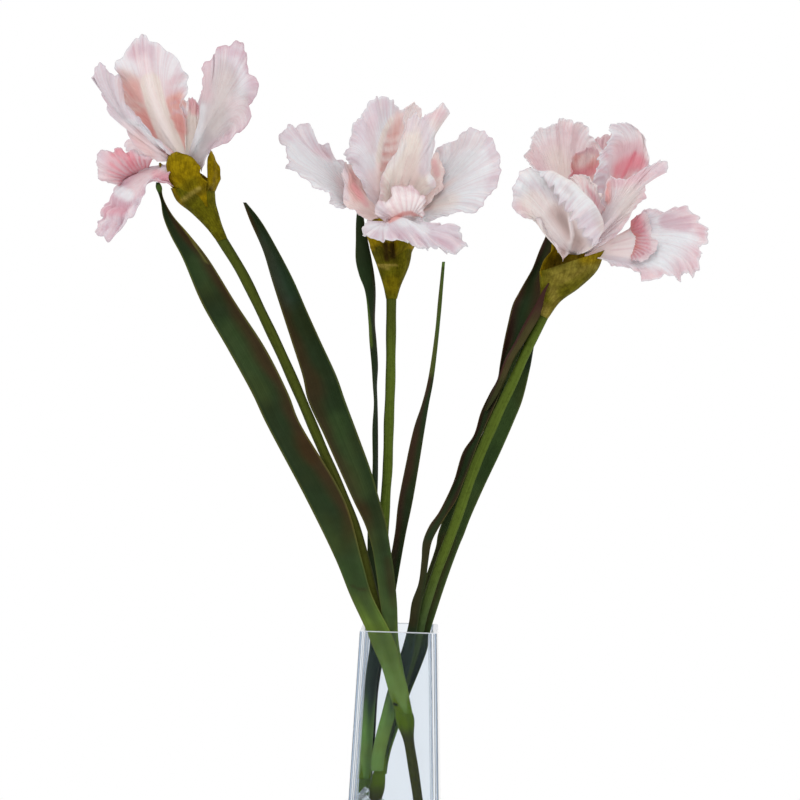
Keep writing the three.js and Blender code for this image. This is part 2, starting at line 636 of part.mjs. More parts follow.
const BLOOM_RIGHT = {
  depth: -6,
  core: [[560, 288, 0], [572, 268, 0], [582, 250, 0]],
  petals: [
    {
      claw: [576, 246, 6], width: 5, ruffle: 2.8, waves: 6,
      middle: [[548, 204, 16], [548, 180, 24], [560, 168, 26], [576, 166, 26], [592, 190, 18]],
      margin: [
        [540, 194, 16], [530, 168, 20], [527, 152, 22], [531, 138, 24], [546, 126, 26], [562, 120, 27],
        [578, 122, 27], [592, 136, 26], [604, 160, 22], [606, 192, 14],
      ],
    },
    {
      claw: [566, 254, -8], width: 6, ruffle: 1.6, waves: 8,
      middle: [
        [565, 256, -12], [547, 236, -18], [536, 212, -24], [544, 194, -30], [562, 182, -36],
        [585, 196, -38],
        [602, 222, -36], [592, 247, -26],
      ],
      margin: [
        [562, 261, -12], [556, 244, -16], [546, 229, -19], [539, 219, -22], [528, 216, -25],
        [516, 213, -28],
        [512, 197, -31], [514, 184, -34], [520, 172, -36], [529, 167, -38], [537, 172, -40],
        [545, 180, -42],
        [552, 189, -44], [558, 197, -45], [564, 206, -46], [570, 215, -46], [577, 223, -45],
        [583, 232, -44],
        [590, 240, -41], [596, 245, -37], [602, 236, -26],
      ],
    },
    {
      claw: [586, 244, 2], width: 5, ruffle: 2, waves: 8,
      middle: [[597, 224, -5], [608, 172, 2], [622, 160, 12], [634, 168, 14], [608, 232, 3]],
      margin: [
        [605, 212, -10], [597, 202, -12], [591, 188, -13], [593, 174, -13], [598, 165, -12],
        [596, 158, -10],
        [603, 148, -7], [608, 134, -3], [610, 125, 1], [622, 123, 6], [633, 126, 10], [642, 138, 14],
        [648, 157, 14], [646, 172, 12], [624, 222, 4],
      ],
    },
    {
      claw: [588, 250, -10], width: 5, ruffle: 2, waves: 7,
      middle: [[602, 214, -18], [612, 204, -24], [622, 202, -26], [630, 200, -22], [598, 246, -11]],
      margin: [
        [604, 220, -16], [605, 196, -22], [608, 176, -24], [619, 180, -27], [634, 173, -24],
        [648, 167, -18],
        [661, 159, -12], [665, 172, -10], [650, 174, -14], [646, 187, -18], [639, 202, -20],
        [628, 218, -18],
        [608, 242, -12],
      ],
    },
    {
      claw: [592, 252, -2], width: 6, ruffle: 2.6, waves: 8,
      middle: [
        [622, 232, 8], [640, 226, 8], [656, 234, 0], [654, 248, -6], [630, 261, -12], [600, 258, -10],
      ],
      margin: [
        [634, 224, 10], [642, 212, 16], [659, 209, 18], [677, 208, 14], [693, 211, 9], [701, 224, 4],
        [708, 236, 0], [700, 247, -4], [699, 261, -10], [693, 276, -14], [683, 273, -16], [678, 280, -18],
        [664, 274, -20], [641, 281, -22], [635, 268, -19], [622, 266, -15], [608, 262, -10],
      ],
    },
    {
      claw: [582, 248, 8], width: 5, ruffle: 2.8, waves: 6,
      middle: [[572, 214, 26], [580, 196, 38], [594, 188, 42], [608, 194, 40], [606, 222, 26]],
      margin: [
        [572, 220, 22], [566, 196, 40], [572, 172, 52], [588, 148, 56], [599, 137, 54], [612, 135, 50],
        [622, 152, 48], [624, 196, 42], [614, 226, 24],
      ],
    },
  ],
  crests: [
    {
      claw: [630, 237, 4], width: 34, ruffle: 1.4, waves: 5, sink: 0,
      middle: [[635, 216, 7], [637, 227, 3], [643, 238, -4], [641, 250, -10], [631, 258, -13]],
      margin: [
        [636, 214, 7], [642, 212, 7], [648, 215, 6], [649, 224, 3], [652, 233, -1], [657, 242, -7],
        [655, 250, -12], [648, 257, -16], [638, 261, -17], [631, 260, -16],
      ],
    },
    {
      claw: [580, 240, 0], width: 4, ruffle: 1.4, waves: 4,
      middle: [[574, 206, 6], [574, 192, 12], [586, 184, 16], [597, 192, 12], [600, 206, 4]],
      margin: [
        [569, 186, 4], [569, 174, 7], [571, 163, 9], [576, 153, 10], [585, 148, 11], [594, 147, 11],
        [600, 154, 9], [602, 166, 6], [603, 180, 2],
      ],
    },
    {
      claw: [584, 240, -8], width: 4, ruffle: 2, waves: 6,
      middle: [[576, 212, -10], [582, 200, -12], [588, 196, -14], [594, 200, -16], [600, 214, -16]],
      margin: [
        [566, 192, -10], [569, 178, -12], [580, 174, -14], [589, 179, -17], [597, 192, -20],
        [604, 208, -20],
      ],
    },
  ],
};

// The surface of a petal or bract, with its claw drawn in towards the heart of the flower.
function petalSurface(petal, depth, heart, fullness = 1) {
  const place = ([column, row, back]) => seen(column, row, depth + back * fullness);
  const claw = place(petal.claw).lerp(heart, petal.sink ?? 0.55);
  const middle = smooth(petal.middle.map(place));
  const margin = smooth(petal.margin.map(place));
  const across = margin.getPoint(0.8).sub(margin.getPoint(0.2)).normalize();
  const rib = (u, v) => {
    const base = claw.clone().addScaledVector(across, (v - 0.5) * petal.width);
    const edge = margin.getPoint(v);
    const bend = middle.getPoint(v).multiplyScalar(2);
    bend.addScaledVector(base, -0.5).addScaledVector(edge, -0.5);
    const point = base.multiplyScalar((1 - u) * (1 - u));
    point.addScaledVector(bend, 2 * u * (1 - u));
    return point.addScaledVector(edge, u * u);
  };
  return (u, v) => {
    const small = 0.01;
    const alongU = rib(Math.min(u + small, 1), v).sub(rib(Math.max(u - small, 0), v));
    const alongV = rib(u, Math.min(v + small, 1)).sub(rib(u, Math.max(v - small, 0)));
    const normal = alongU.cross(alongV).normalize();
    const height = petal.ruffle * THREE.MathUtils.smoothstep(u, 0.45, 1);
    const wave = Math.sin(2 * Math.PI * petal.waves * v + 0.8 * Math.sin(9 * v));
    return rib(u, v).addScaledVector(normal, height * wave);
  };
}

function bloom(plan, grow = 0) {
  const core = smooth(plan.core.map(([column, row, back]) => seen(column, row, plan.depth + back)));
  const heart = core.getPoint(0.9);
  const coreRadius = (t) => 4.5 + 3 * t - 12 * Math.max(0, t - 0.8);
  let solid = toManifold(rod(core, coreRadius, 6, 10, grow));
  plan.petals.forEach((petal) => {
    const surface = petalSurface(petal, plan.depth, heart, FULLNESS);
    solid = solid.add(toManifold(sheet(surface, PETAL_ROWS, PETAL_COLUMNS, PETAL_THICKNESS, grow)));
  });
  plan.crests.forEach((petal) => {
    const surface = petalSurface(petal, plan.depth, heart, FULLNESS);
    solid = solid.add(toManifold(sheet(surface, CREST_ROWS, CREST_COLUMNS, PETAL_THICKNESS, grow)));
  });
  return largestBody(solid);
}

// Spathes: a cup on the end of the stem, with papery bracts round its rim. A cup section is the column
// and row of its left side and of its right side, and half its depth in mm.
const SPATHE_LEFT = {
  depth: -34,
  cup: [
    [217.5, 241, 228, 238, 5], [207.5, 228, 222.5, 224, 7.2], [192, 212.5, 219, 212, 11.2],
    [177.5, 200.5, 216.5, 203, 14.2], [171.5, 188, 215.5, 191, 14.8],
  ],
  bracts: [
    {
      claw: [197, 203, -11], width: 20, ruffle: 0.6, waves: 2, sink: 0.1,
      middle: [[173, 185, -6], [176, 177, -15], [187, 175, -18.5], [198, 180, -17.5], [207, 188, -13]],
      margin: [
        [170, 178, -4], [167, 166, -9], [170, 156, -13], [178, 152, -15.5], [188, 155, -17],
        [197, 160.5, -18],
        [201, 168, -17.5], [200, 174, -17], [209, 182, -13],
      ],
    },
    {
      claw: [190, 198, 6], width: 12, ruffle: 0.6, waves: 2, sink: 0.1,
      middle: [[176, 190, -8], [170, 182, -4], [169, 178, 2], [173, 176, 8], [180, 180, 12]],
      margin: [[172, 182, -8], [163, 172, -4], [160, 163, 2], [168, 166, 8], [178, 172, 14]],
    },
    {
      claw: [206, 198, 4], width: 12, ruffle: 0.6, waves: 2, sink: 0.1,
      middle: [[207, 192, -10], [213, 182, -6], [216, 178, 0], [217, 184, 6], [216, 190, 10]],
      margin: [
        [208, 184, -11], [208, 168, -8], [209, 156, -4], [211, 149.5, -1], [215, 157, 1], [220, 166, 4],
        [220.5, 177, 7], [216.5, 188, 11],
      ],
    },
    {
      claw: [198, 196, 12], width: 16, ruffle: 0.6, waves: 2, sink: 0.1,
      middle: [[180, 186, 13], [186, 181, 16], [194, 180, 17], [202, 181, 16], [210, 186, 13]],
      margin: [[177, 178, 13], [181, 171, 16], [190, 168, 17], [202, 173, 17], [211, 180, 14]],
    },
  ],
};

const SPATHE_MIDDLE = {
  depth: 35,
  cup: [
    [386, 298, 397, 298, 4.8], [383.5, 286, 400.5, 286, 6.8], [376.5, 264, 409, 265, 12.6],
    [371.5, 251, 411.5, 252, 15], [368, 238, 412, 240, 15.8],
  ],
  bracts: [
    {
      claw: [384, 258, -8], width: 14, ruffle: 0.6, waves: 2, sink: 0.1,
      middle: [[372, 250, -4], [371, 240, -10], [378, 236, -15], [386, 238, -18], [393, 248, -18]],
      margin: [
        [370, 244, 0], [366, 230, -4], [370, 218, -8], [379, 213, -12], [387, 222, -17], [393, 240, -19],
      ],
    },
    {
      claw: [400, 260, -8], width: 14, ruffle: 0.6, waves: 2, sink: 0.1,
      middle: [[394, 254, -18], [400, 244, -18], [408, 240, -13], [413, 244, -4], [411, 252, 4]],
      margin: [
        [393, 244, -19], [396, 230, -18], [404, 220, -14], [412, 226, -8], [415, 240, 0], [412, 250, 7],
      ],
    },
    {
      claw: [392, 256, 10], width: 18, ruffle: 0.6, waves: 2, sink: 0.1,
      middle: [[377, 248, 12], [383, 238, 17], [392, 236, 19], [401, 238, 17], [407, 248, 12]],
      margin: [[375, 240, 12], [380, 224, 17], [391, 214, 20], [402, 222, 18], [409, 240, 12]],
    },
  ],
};

const SPATHE_RIGHT = {
  depth: -6,
  cup: [
    [537.5, 313, 547.5, 318, 5], [538.5, 302, 560, 301, 8], [540, 290, 579, 287, 13],
    [539, 280, 597, 269, 17], [538.5, 271, 604, 249.5, 18.5],
  ],
  bracts: [
    {
      claw: [552, 288, 4], width: 12, ruffle: 0.6, waves: 2, sink: 0.1,
      middle: [[542, 278, -6], [544, 270, -3], [549, 264, 1], [553, 262, 5], [554, 268, 9], [552, 274, 11]],
      margin: [
        [540, 268.5, -6], [544, 259, -4], [551, 250.5, -1], [553.5, 244, 1], [552, 236.5, 3], [557, 242, 5],
        [557, 249, 7], [554, 258, 9], [549, 265, 11],
      ],
    },
    {
      claw: [574, 280, 8], width: 18, ruffle: 0.6, waves: 2, sink: 0.1,
      middle: [[554, 272, 12], [566, 266, 16], [580, 260, 17], [592, 256, 13], [598, 258, 6]],
      margin: [
        [547, 262, 10], [554, 254, 13], [564, 250, 16], [576, 248, 18], [588, 243, 18], [598, 241, 14],
        [605, 248, 6],
      ],
    },
  ],
};

function cup(plan, grow) {
  const last = plan.cup.length - 1;
  const rings = [];
  const addRing = ([leftColumn, leftRow, rightColumn, rightRow, depth], share, raised) => {
    const left = seen(leftColumn, leftRow, plan.depth);
    const right = seen(rightColumn, rightRow, plan.depth);
    const centre = left.clone().lerp(right, 0.5);
    const side = right.clone().sub(centre);
    const up = side.clone().cross(new THREE.Vector3(0, 1, 0)).normalize();
    side.setLength((side.length() + grow) * share);
    const ring = [];
    for (let j = 0; j < CUP_SIDES; j += 1) {
      const turn = (2 * Math.PI * j) / CUP_SIDES;
      const point = centre.clone().addScaledVector(up, raised);
      point.addScaledVector(side, Math.cos(turn));
      point.y += (depth + grow) * share * Math.sin(turn);
      ring.push(point);
    }
    rings.push(ring);
  };
  plan.cup.forEach((section, step) => addRing(section, 1, step === 0 ? -grow : step === last ? grow : 0));
  addRing(plan.cup[last], 0.86, grow);
  addRing(plan.cup[last], 0.5, grow - 4);
  return skin(rings);
}

function spatheSolid(plan, grow = 0) {
  const [leftColumn, leftRow, rightColumn, rightRow] = plan.cup[3];
  const heart = seen((leftColumn + rightColumn) / 2, (leftRow + rightRow) / 2, plan.depth);
  let solid = toManifold(cup(plan, grow));
  plan.bracts.forEach((bract) => {
    const surface = petalSurface(bract, plan.depth, heart);
    solid = solid.add(toManifold(sheet(surface, BRACT_ROWS, BRACT_COLUMNS, BRACT_THICKNESS, grow)));
  });
  return solid;
}

// The spathe holds the end of its stem and the foot of its bloom in sockets.
function spathe(plan, stemName, bloomPlan) {
  const socket = toManifold(stem(stemName, GAP)).add(bloom(bloomPlan, GAP));
  return largestBody(spatheSolid(plan).subtract(socket));
}

// Assembly.

function part(name, geometry) {
  const mesh = new THREE.Mesh(geometry);
  mesh.name = name;
  return mesh;
}

const root = new THREE.Group();
root.name = "irises_in_vase";
const add = (name, solid) => root.add(part(name, toGeometry(solid)));
const stems = Object.keys(STEMS);
const grownStems = stems.map((name) => toManifold(stem(name, GAP)));

root.add(part("glass_vase", vase()));
add("crystal_filler", crystalFiller(grownStems));
stems.forEach((name) => root.add(part(`stem_${name}`, stem(name))));

const PLANS = [
  ["left", SPATHE_LEFT, BLOOM_LEFT],
  ["middle", SPATHE_MIDDLE, BLOOM_MIDDLE],
  ["right", SPATHE_RIGHT, BLOOM_RIGHT],
];
PLANS.forEach(([name, spathePlan, bloomPlan]) => {
  add(`bloom_${name}`, bloom(bloomPlan));
  add(`spathe_${name}`, spathe(spathePlan, name, bloomPlan));
});

// A leaf is cut clear of the stems and spathes, and of the leaf that lies in front of it.
const FRONT_LEAF = { left_2: "left_1" };
const cutters = [...grownStems, ...PLANS.map(([, plan]) => spatheSolid(plan, GAP))];
Object.keys(LEAVES).forEach((name) => {
  let solid = leaf(name);
  cutters.forEach((cutter) => {
    solid = solid.subtract(cutter);
  });
  if (FRONT_LEAF[name]) solid = solid.subtract(leaf(FRONT_LEAF[name], GAP));
  add(`leaf_${name}`, largestBody(solid));
});

export default root;
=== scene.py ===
"""Three cut irises with long leaves, standing in clear crystals in a tall glass vase.

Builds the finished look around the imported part: fine petals, leaves, stems, spathes, crystals and
glass, with a stage, a light and a camera. Flowers and leaves are laid out by column and row in a
drawing of the front, as in the part, and turned into mm.
"""

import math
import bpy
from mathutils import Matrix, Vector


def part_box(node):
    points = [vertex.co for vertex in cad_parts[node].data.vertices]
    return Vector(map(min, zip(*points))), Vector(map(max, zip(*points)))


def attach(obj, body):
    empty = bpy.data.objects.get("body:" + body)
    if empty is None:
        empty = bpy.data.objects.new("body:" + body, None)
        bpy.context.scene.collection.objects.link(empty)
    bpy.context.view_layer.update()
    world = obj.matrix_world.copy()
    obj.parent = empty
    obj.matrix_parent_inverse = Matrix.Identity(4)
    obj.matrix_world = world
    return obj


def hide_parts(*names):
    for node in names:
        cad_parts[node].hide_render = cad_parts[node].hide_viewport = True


bl_info = {
    "name": "Irises in a Vase",
    "version": (1, 0, 0),
    "blender": (4, 5, 0),
    "location": "View3D > Sidebar > Irises",
    "description": "Builds ruffled irises with sword leaves in a glass vase of crystals",
    "category": "Object",
}

import bmesh
import bpy
import numpy as np
from bpy.props import FloatProperty, FloatVectorProperty, IntProperty, PointerProperty
from mathutils import Matrix, Vector

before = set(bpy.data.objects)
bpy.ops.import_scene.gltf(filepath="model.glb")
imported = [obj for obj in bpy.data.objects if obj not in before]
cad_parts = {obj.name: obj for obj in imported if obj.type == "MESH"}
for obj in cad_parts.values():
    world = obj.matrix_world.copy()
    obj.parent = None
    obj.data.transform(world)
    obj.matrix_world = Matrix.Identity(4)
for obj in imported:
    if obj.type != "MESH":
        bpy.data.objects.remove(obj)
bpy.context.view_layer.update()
VASE_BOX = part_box("glass_vase")

MM = 0.001

# The vase, in mm and radians: half the width of its mouth, and what each mm further down adds to that.
VASE_HEIGHT = VASE_BOX[1].z / MM
MOUTH_HALF = 30.5
TAPER = 0.0391
WALL = 4
FLOOR = 10
VASE_TURN = -0.035

# The drawing: the mm in a step, the column of the vase's axis, the row of its rim, how far the drawing
# leans, and the eye in mm. Depths are behind the plane through the axis, and what is deeper looks
# smaller.
STEP = 0.8
AXIS_COLUMN = 399.5
RIM_ROW = 627
LEAN = 0.0262
EYE_X = -4.35
EYE_Z = 507
EYE_DISTANCE = 2000

# The crystals, in mm: the heights of the heap at its left and right end, the height whose width says how
# far out they are dropped, how many are dropped, the places tried for each, the room kept free at the
# glass and round a stem's middle line, and the points that a chunk is cut from.
HEAP_ENDS = (-30, 30)
HEAP_HEIGHTS = (122, 88)
DROP_HEIGHT = 60
DROPS = 900
TRIES = 60
GLASS_GAP = 0.6
STEM_ROOM = 4.2
CHUNK_POINTS = 15

# How many times deeper the blooms are than drawn, the column where the height of a stem's joint is read
# and how far its swelling reaches in mm, and how far apart the noise of two sheets with the next number
# lies.
FULLNESS = 1.2
JOINT_COLUMN = 400
JOINT_REACH = 11
NUMBER_GAP = 7.3

# Rows and columns of faces: of tubes, as rings and sides, and of sheets. A cup turns in by a few rings.
STEM_GRID = (240, 20)
LEAF_GRID = (220, 14)
LEAF_EDGE_GRID = (80, 8)
CUP_GRID = (40, 48)
CUP_INSIDE = 18
BRACT_GRID = (30, 40)
PETAL_GRID = (40, 190)
CREST_GRID = (26, 80)

# The camera's lens in mm and its turns in radians. The lights: place, width and share of the power that
# the settings give.
LENS = 112.65
CAMERA_TILT = math.pi / 2 - 0.03732
CAMERA_ROLL = 0.02615
LIGHTS = {
    "key_light": ((-1.3, -1.7, 1.7), 1.2, 1.0),
    "fill_light": ((1.6, -1.4, 0.9), 1.4, 0.35),
}
LIGHT_AIM = Vector((0, 0, 0.45))

# Colours, as six-digit codes.
SHADES = {
    "white": "dfe2e5",
    "cream": "e3dad2",
    "blush": "dfd0d2",
    "pink": "dab9bf",
    "lilac": "d4cbd2",
    "salmon": "dfb3ab",
    "coral": "dc9b94",
    # A pale salmon for throats and crests deep in the blooms: their own pink made lighter, as painted light
    # where shade falls.
    "glow": "f0dcd7",
    "rose": "e08592",
    "mauve": "c9aab5",
    "stone": "c4bcbe",
    # The next two are painted shade, laid where petals lie in shadow: a fawn and a deeper taupe.
    "fawn": "cfbab5",
    "taupe": "ad9893",
    # A near white painted as light: highlights on ruffle crests and folds, and places that lie in shade
    # painted lighter.
    "bright": "f4ebea",
    "leaf_dark": "2b3822",
    "leaf_teal": "35463a",
    "leaf_mid": "43552f",
    "leaf_flush": "40301f",
    "leaf_green": "435630",
    "leaf_fresh": "6c8a3c",
    "leaf_lime": "8ab158",
    "leaf_edge": "9a9a50",
    "leaf_maroon": "452826",
    "leaf_under": "4c4828",
    "collar": "6d8a12",
    "olive": "4b541c",
    "stem_green": "576824",
    "bark": "4c501c",
    "knot": "1c1c10",
    "spathe": "957e0a",
    "spathe_green": "686410",
    "spathe_dark": "4a4210",
    "spathe_brown": "33220c",
    "spathe_pale": "a08f45",
}

# Tables are written as text, with commas between the rows. A place in the drawing is a column and a
# row, and often a depth in mm.

# Stems: their path, the row and swell of the joint, shades (from row, to row, shade) and the turn that
# the light comes from; each stem is painted darker on the side turned away from it, as painted shade.
STEMS = {
    "left": {
        "path": (
            "216 229 -34, 225.5 244 -34, 242.5 272 -32, 265 318 -29, 286.5 364 -26, 322 447 -20, "
            "356 529 -14, 371 585 -11, 386 640 -10, 397 690 -10, 404.4 717 -10, 408 736 -10, 418 800 -9, "
            "426 870 -8, 429.5 928.5 -7"
        ),
        "joint": 717, "swell": 3.2, "shades": "420 500 bark, 690 708 collar, 722 740 bark", "lit": 5.5,
    },
    "middle": {
        "path": (
            "391.5 286 35, 391 340 34, 390.5 380 32, 389 420 30, 387.5 470 27, 386 490 26, 382 560 21, "
            "376 640 18, 370 690 17.5, 367 738 17.5, 365 782 17.5, 363.5 850 17, 362 920.5 16"
        ),
        "joint": 796, "swell": 1.2,
        "shades": "310 370 stem_green, 600 760 leaf_fresh, 790 810 bark",
        "lit": 0.4,
    },
    "right": {
        "path": (
            "549 303 -6, 542 318 -6, 527 348 -6, 513.5 379 -5, 498.5 411 -4, 484.5 443 -3, 473.5 470 -2, "
            "461.7 504 -1, 451.7 532 0, 441 560 1, 431 588 2, 422.5 616 3, 413 655 3, 398 702 3, "
            "386 741 3, 379 776 3, 373 815 2, 368 870 1, 365 925 0"
        ),
        "joint": 790, "swell": 2.4,
        "shades": "290 340 stem_green, 540 640 leaf_green, 752 764 collar, 776 800 bark",
        "lit": 0.8,
    },
}

# Leaves: row, left column, right column, and the depths of left edge, middle and right edge.
LEAVES = {
    "left_1": (
        "182 157 160.5 -40 -40 -40, 187 156.8 162.8 -41 -40 -41, 193 159.3 163 -42 -40 -42, "
        "201 161.8 165.5 -43 -40 -43, 215 163.8 173.5 -44 -40 -44, 233 170.5 189 -45 -40 -44, "
        "257 183 208 -45 -39 -44, 302 202 236 -44 -37 -42, 348 228 266 -41 -35 -38, "
        "394 253 289 -37 -32 -34, 420 265 299 -35 -30 -32, 500 307 345 -28 -25 -26, "
        "560 336 362 -23 -22 -22, 595 350 372 -21 -19 -20.5, 629 365.6 389 -19 -18.5 -19.5, "
        "645 372 396 -19 -18 -18.8, 668 382 401 -16 -17.5 -17.5, 685 387 407 -12 -16.6 -15.5, "
        "699 391 409.5 -10.5 -17 -13, 708 394 411.5 -10 -18 -12, 714 396.5 412.5 -10 -18.6 -12"
    ),
    "left_2": (
        "202 243.7 246.7 -10 -10 -10, 220 250.5 261 -12 -9 -13, 250 263.5 278.5 -14 -10 -15, "
        "280 272.5 294 -16 -11 -17, 310 282 307 -18 -12 -19, 341 292 321 -20 -13 -20, "
        "376 303 337 -20 -14 -20, 399 308 345 -20 -14 -20, 434 324 358 -20 -15 -20, "
        "470 340 371 -20 -15 -19, 501 354 380 -19.5 -16 -18, 524 365 386.5 -19 -16 -17.5, "
        "545 371.5 390 -18.5 -16.5 -17, 571 376 394 -18 -16.8 -16.5, 602 380 397 -17.5 -16.6 -15.5, "
        "640 386 398.5 -17 -16.4 -13, 670 393 403.5 -16.4 -15.5 -9, 692 400 408 -16 -13 -6, "
        "703 402.5 410.5 -16 -12 -6"
    ),
    "middle_1": (
        "196 359.5 362.5 46 45 46, 218 356.5 364 45 44 46, 240 356 368 44 43 45, 260 356 372 43 41 44, "
        "275 359.5 374.5 41 40 43, 290 365 375.7 38 39 43, 322 368.6 375 34 37 42, "
        "340 369.5 376.5 34 36 40, 365 371.7 378 33 35 39, 385 373 377 30 34 37, 402 374 377.5 29 32 36, "
        "427 372.5 378 27 30 33, 470 372.5 378 23 26 30, 520 368 377 16 19 21, 560 367.5 379 13 14.5 16, "
        "600 368 381 12 12 14, 640 370 382 13 11.6 13, 682 365 377 16 11.2 14, 721 362.4 374 17 11.2 15, "
        "759 360 371.5 17 11.2 16, 780 358.8 370.5 17 11 17"
    ),
    "middle_2": (
        "261 442 445 18 18 18, 280 440 443.5 18 18.5 19, 300 438 442 18 19 19, 332 435 439 18 19 20, "
        "379 428 433.5 17 20 21, 403 422 429 17 20 21, 427 414 425 18 20 21, 470 404.5 418 19 21 20, "
        "504 398 412 20 22 20, 532 395 406 21 23 21, 565 389 400 23 24.5 22, 600 382 394 24 25 22.5, "
        "625 377.5 389 24.2 24.6 22, 645 373 385 24 24.3 20, 668 369 381.5 23.6 24.2 18, "
        "692 366 378 23.6 24.2 17, 712 365 376.5 23.6 24.2 17, 738 363.6 375 23.6 24.2 18, "
        "766 361.6 373 23.6 24.2 19, 779 361 372 23.6 24.2 19"
    ),
    "right_1": (
        "222 549 552 16 16 16, 231 547 555 15 16 15, 250 539 552 12 14 12, 268 532 545 9 12 8, "
        "284 523 541 6 9 5, 293 518 541 5 8 3, 303 512.8 537.5 4 6 0, 322 508 533 3 6 -12, "
        "343 503.5 522 3 6 -11.8, 363 500 511 3 4 -10, 378 497.5 505.5 2 3 -6, 392 490 500 2 4 -1, "
        "411 481 492 2 5 0, 434 474 481.5 3 5 1, 451 463 475 3 6 2, 480 454 464 4 7 3, 500 445 456 4 6 3, "
        "513 438 447.5 0 2 0, 525 429.5 440 -4 -2 -3, 541 423 432 -6 -5 -5, 560 421.5 428.5 -7 -6 -5, "
        "583 418.5 425.5 -7 -6 -4, 602 411.8 421.5 -6 -5 -3.5, 623 408.8 418 -4.8 -4 -3.2, "
        "651 401.5 414 -2 -4 -4, 688 388.5 405 0 -3.2 -4, 717 381 395 1 -3.6 -3, 738 375.5 389 2 -3.6 -2, "
        "759 371.5 384.5 3 -3.6 -2, 772 371 383 3 -3.6 -2"
    ),
    "right_2": (
        "318 541 543.5 3 3 3, 338 524.5 535.5 3 5 2, 367 509 530 4 7 3, 400 497 522 5 8 4, "
        "420 488 514 5 9 5, 450 475 501 6 9 6, 484 461 485 7 10 7, 518 443.5 470 7 10 7, "
        "534 438 464 7 10 7, 546 436 459 7 10 8, 579 425 447 8 10 8, 612 415 436.2 8.6 10.4 8, "
        "631 411 430.4 9 10 7, 648 407 427.6 9.3 9.8 5, 664 404 422 9.3 9.8 3, 694 393.5 410 9 9.8 2, "
        "728 383 398.5 9 9.8 2, 749 377.5 391.5 9 9.8 3, 764 374.5 388 9 9.8 4, 775 373.5 386.5 9 9.8 4"
    ),
}

# The turned-up edge of a leaf, drawn in the same way.
LEAF_EDGES = {
    "right_1": (
        "282.5 547.5 549 -18 -18 -18, 291 541.8 545.5 -18 -18 -18, 304 535 542.6 -16 -17 -17, "
        "316 528 539.2 -13 -15 -16, 329 521 531.8 -9 -13 -14.5, 343 514 523.3 -6 -11 -13, "
        "358 505.5 513.5 -3.5 -8 -11, 376 498.5 505.5 -1.5 -2.5 -7, 394 490.5 497.5 0 0.5 -2, "
        "410 484 487 1.5 2 1"
    ),
}

# How each leaf is coloured: shades down the rows, flushes across the blade (from, to, shade, strength),
# the row where these end, and how pale its edge is.
# Strokes of paint are shade, strength, half width, softness, and a line of columns and rows.
LEAF_PAINT = {
    "left_1": {
        "shades": "500 590 leaf_green, 590 650 leaf_fresh, 640 690 leaf_lime, 698 712 collar",
        "sides": "0.45 0.85 leaf_flush 0.85", "flush_end": 560, "edge": 0.3,
        # The narrow flush line across the blade at rows 586 to 589 is painted shade in its crease.
        "strokes": (
            "leaf_fresh 0.6 4 0.5 160 188, leaf_edge 0.4 0.9 0.6 174 214 187 231 199 249 207 262, "
            "leaf_green 0.5 10 0.9 228 330 262 392, leaf_green 0.4 8 0.9 196 262 206 286, "
            "leaf_flush 0.5 1.2 0.6 352 586 361 589 370 587, leaf_dark 0.5 12 0.9 346 556 360 580, "
            "knot 0.95 1.4 0.4 394.5 704 397 705"
        ),
    },
    "left_2": {
        "shades": "500 590 leaf_green, 615 665 leaf_fresh, 660 700 leaf_lime",
        "sides": "0.6 0.15 leaf_flush 0.7", "flush_end": 560, "edge": 0.2,
        "strokes": (
            "leaf_green 0.5 9 0.9 338 420 362 490, leaf_teal 0.6 8 0.9 262 240 290 300, "
            "leaf_dark 0.75 7 0.9 383 545 392 590, leaf_flush 0.4 4 0.9 388 560 394 604"
        ),
    },
    "middle_1": {
        "shades": "600 640 leaf_teal, 690 742 leaf_lime, 772 784 collar",
        "sides": "0.7 1.0 leaf_maroon 0.5", "flush_end": 600, "edge": 0.2,
        "strokes": (
            "leaf_fresh 0.5 1.6 0.7 359 278 366 300 369.5 325 371 345, leaf_dark 0.6 6 0.9 366 215 366 250"
        ),
    },
    "middle_2": {
        "shades": "600 660 leaf_teal, 740 780 leaf_fresh", "sides": "0.8 0.2 leaf_maroon 0.6",
        "flush_end": 600, "edge": 0.2,
        "strokes": "leaf_fresh 0.7 4 0.5 443 262, leaf_fresh 0.35 5 0.8 442 272 436 330 431 370",
    },
    "right_1": {
        "shades": "630 650 leaf_teal, 680 730 leaf_lime",
        "sides": "0.45 0.0 leaf_maroon 0.8, 0.6 1.0 leaf_maroon 0.5", "flush_end": 560, "edge": 0.2,
        "strokes": (
            "leaf_flush 0.6 8 0.8 556 246 545 280 536 316, leaf_flush 0.6 5 0.9 428 545 419 580 412 622"
        ),
    },
    "right_2": {
        "shades": "300 330 leaf_mid, 630 660 leaf_teal, 680 725 leaf_lime",
        "sides": "0.3 0.0 leaf_dark 0.8", "flush_end": 600, "edge": 0.15,
        "strokes": (
            "leaf_teal 0.8 7 0.9 541 335 530 362, leaf_dark 0.5 8 0.9 492 452 482 474, "
            "leaf_flush 0.85 7 0.8 448 540 434 580 420 626"
        ),
    },
}

# Petals and bracts. Each grows from a claw, of a width in mm, sunk by a share of the way to the heart.
# Its ruffles have a height in mm, times calm, and a number of waves; frill is the share of the finer
# ones, jag how torn the edge looks, and ridges the height in mm of the fine ridges. Shades are those of
# body, margin, throat and rim, and the ruffle shade is the colour painted as shade into the troughs
# between the ruffles. The middle is the line reached halfway up; it and the margin run from left to
# right, with depths from the bloom's own. Folds are height in mm, half width and a line; pleats are
# height in mm, count and start; stripes are shade, strength, count, start and end.
PETAL = {
    "width": 5, "waves": 6, "sink": 0.55, "frill": 0.3, "ridges": 0.07, "calm": 1, "jag": 1,
    "shades": "blush lilac salmon white", "ruffle_painted_shade": "mauve", "folds": "", "pleats": "", "stripes": "",
    "strokes": "",
}
BRACT = {**PETAL, "ruffle": 0.6, "waves": 2, "frill": 0.6, "ridges": 0.08, "sink": 0.1}

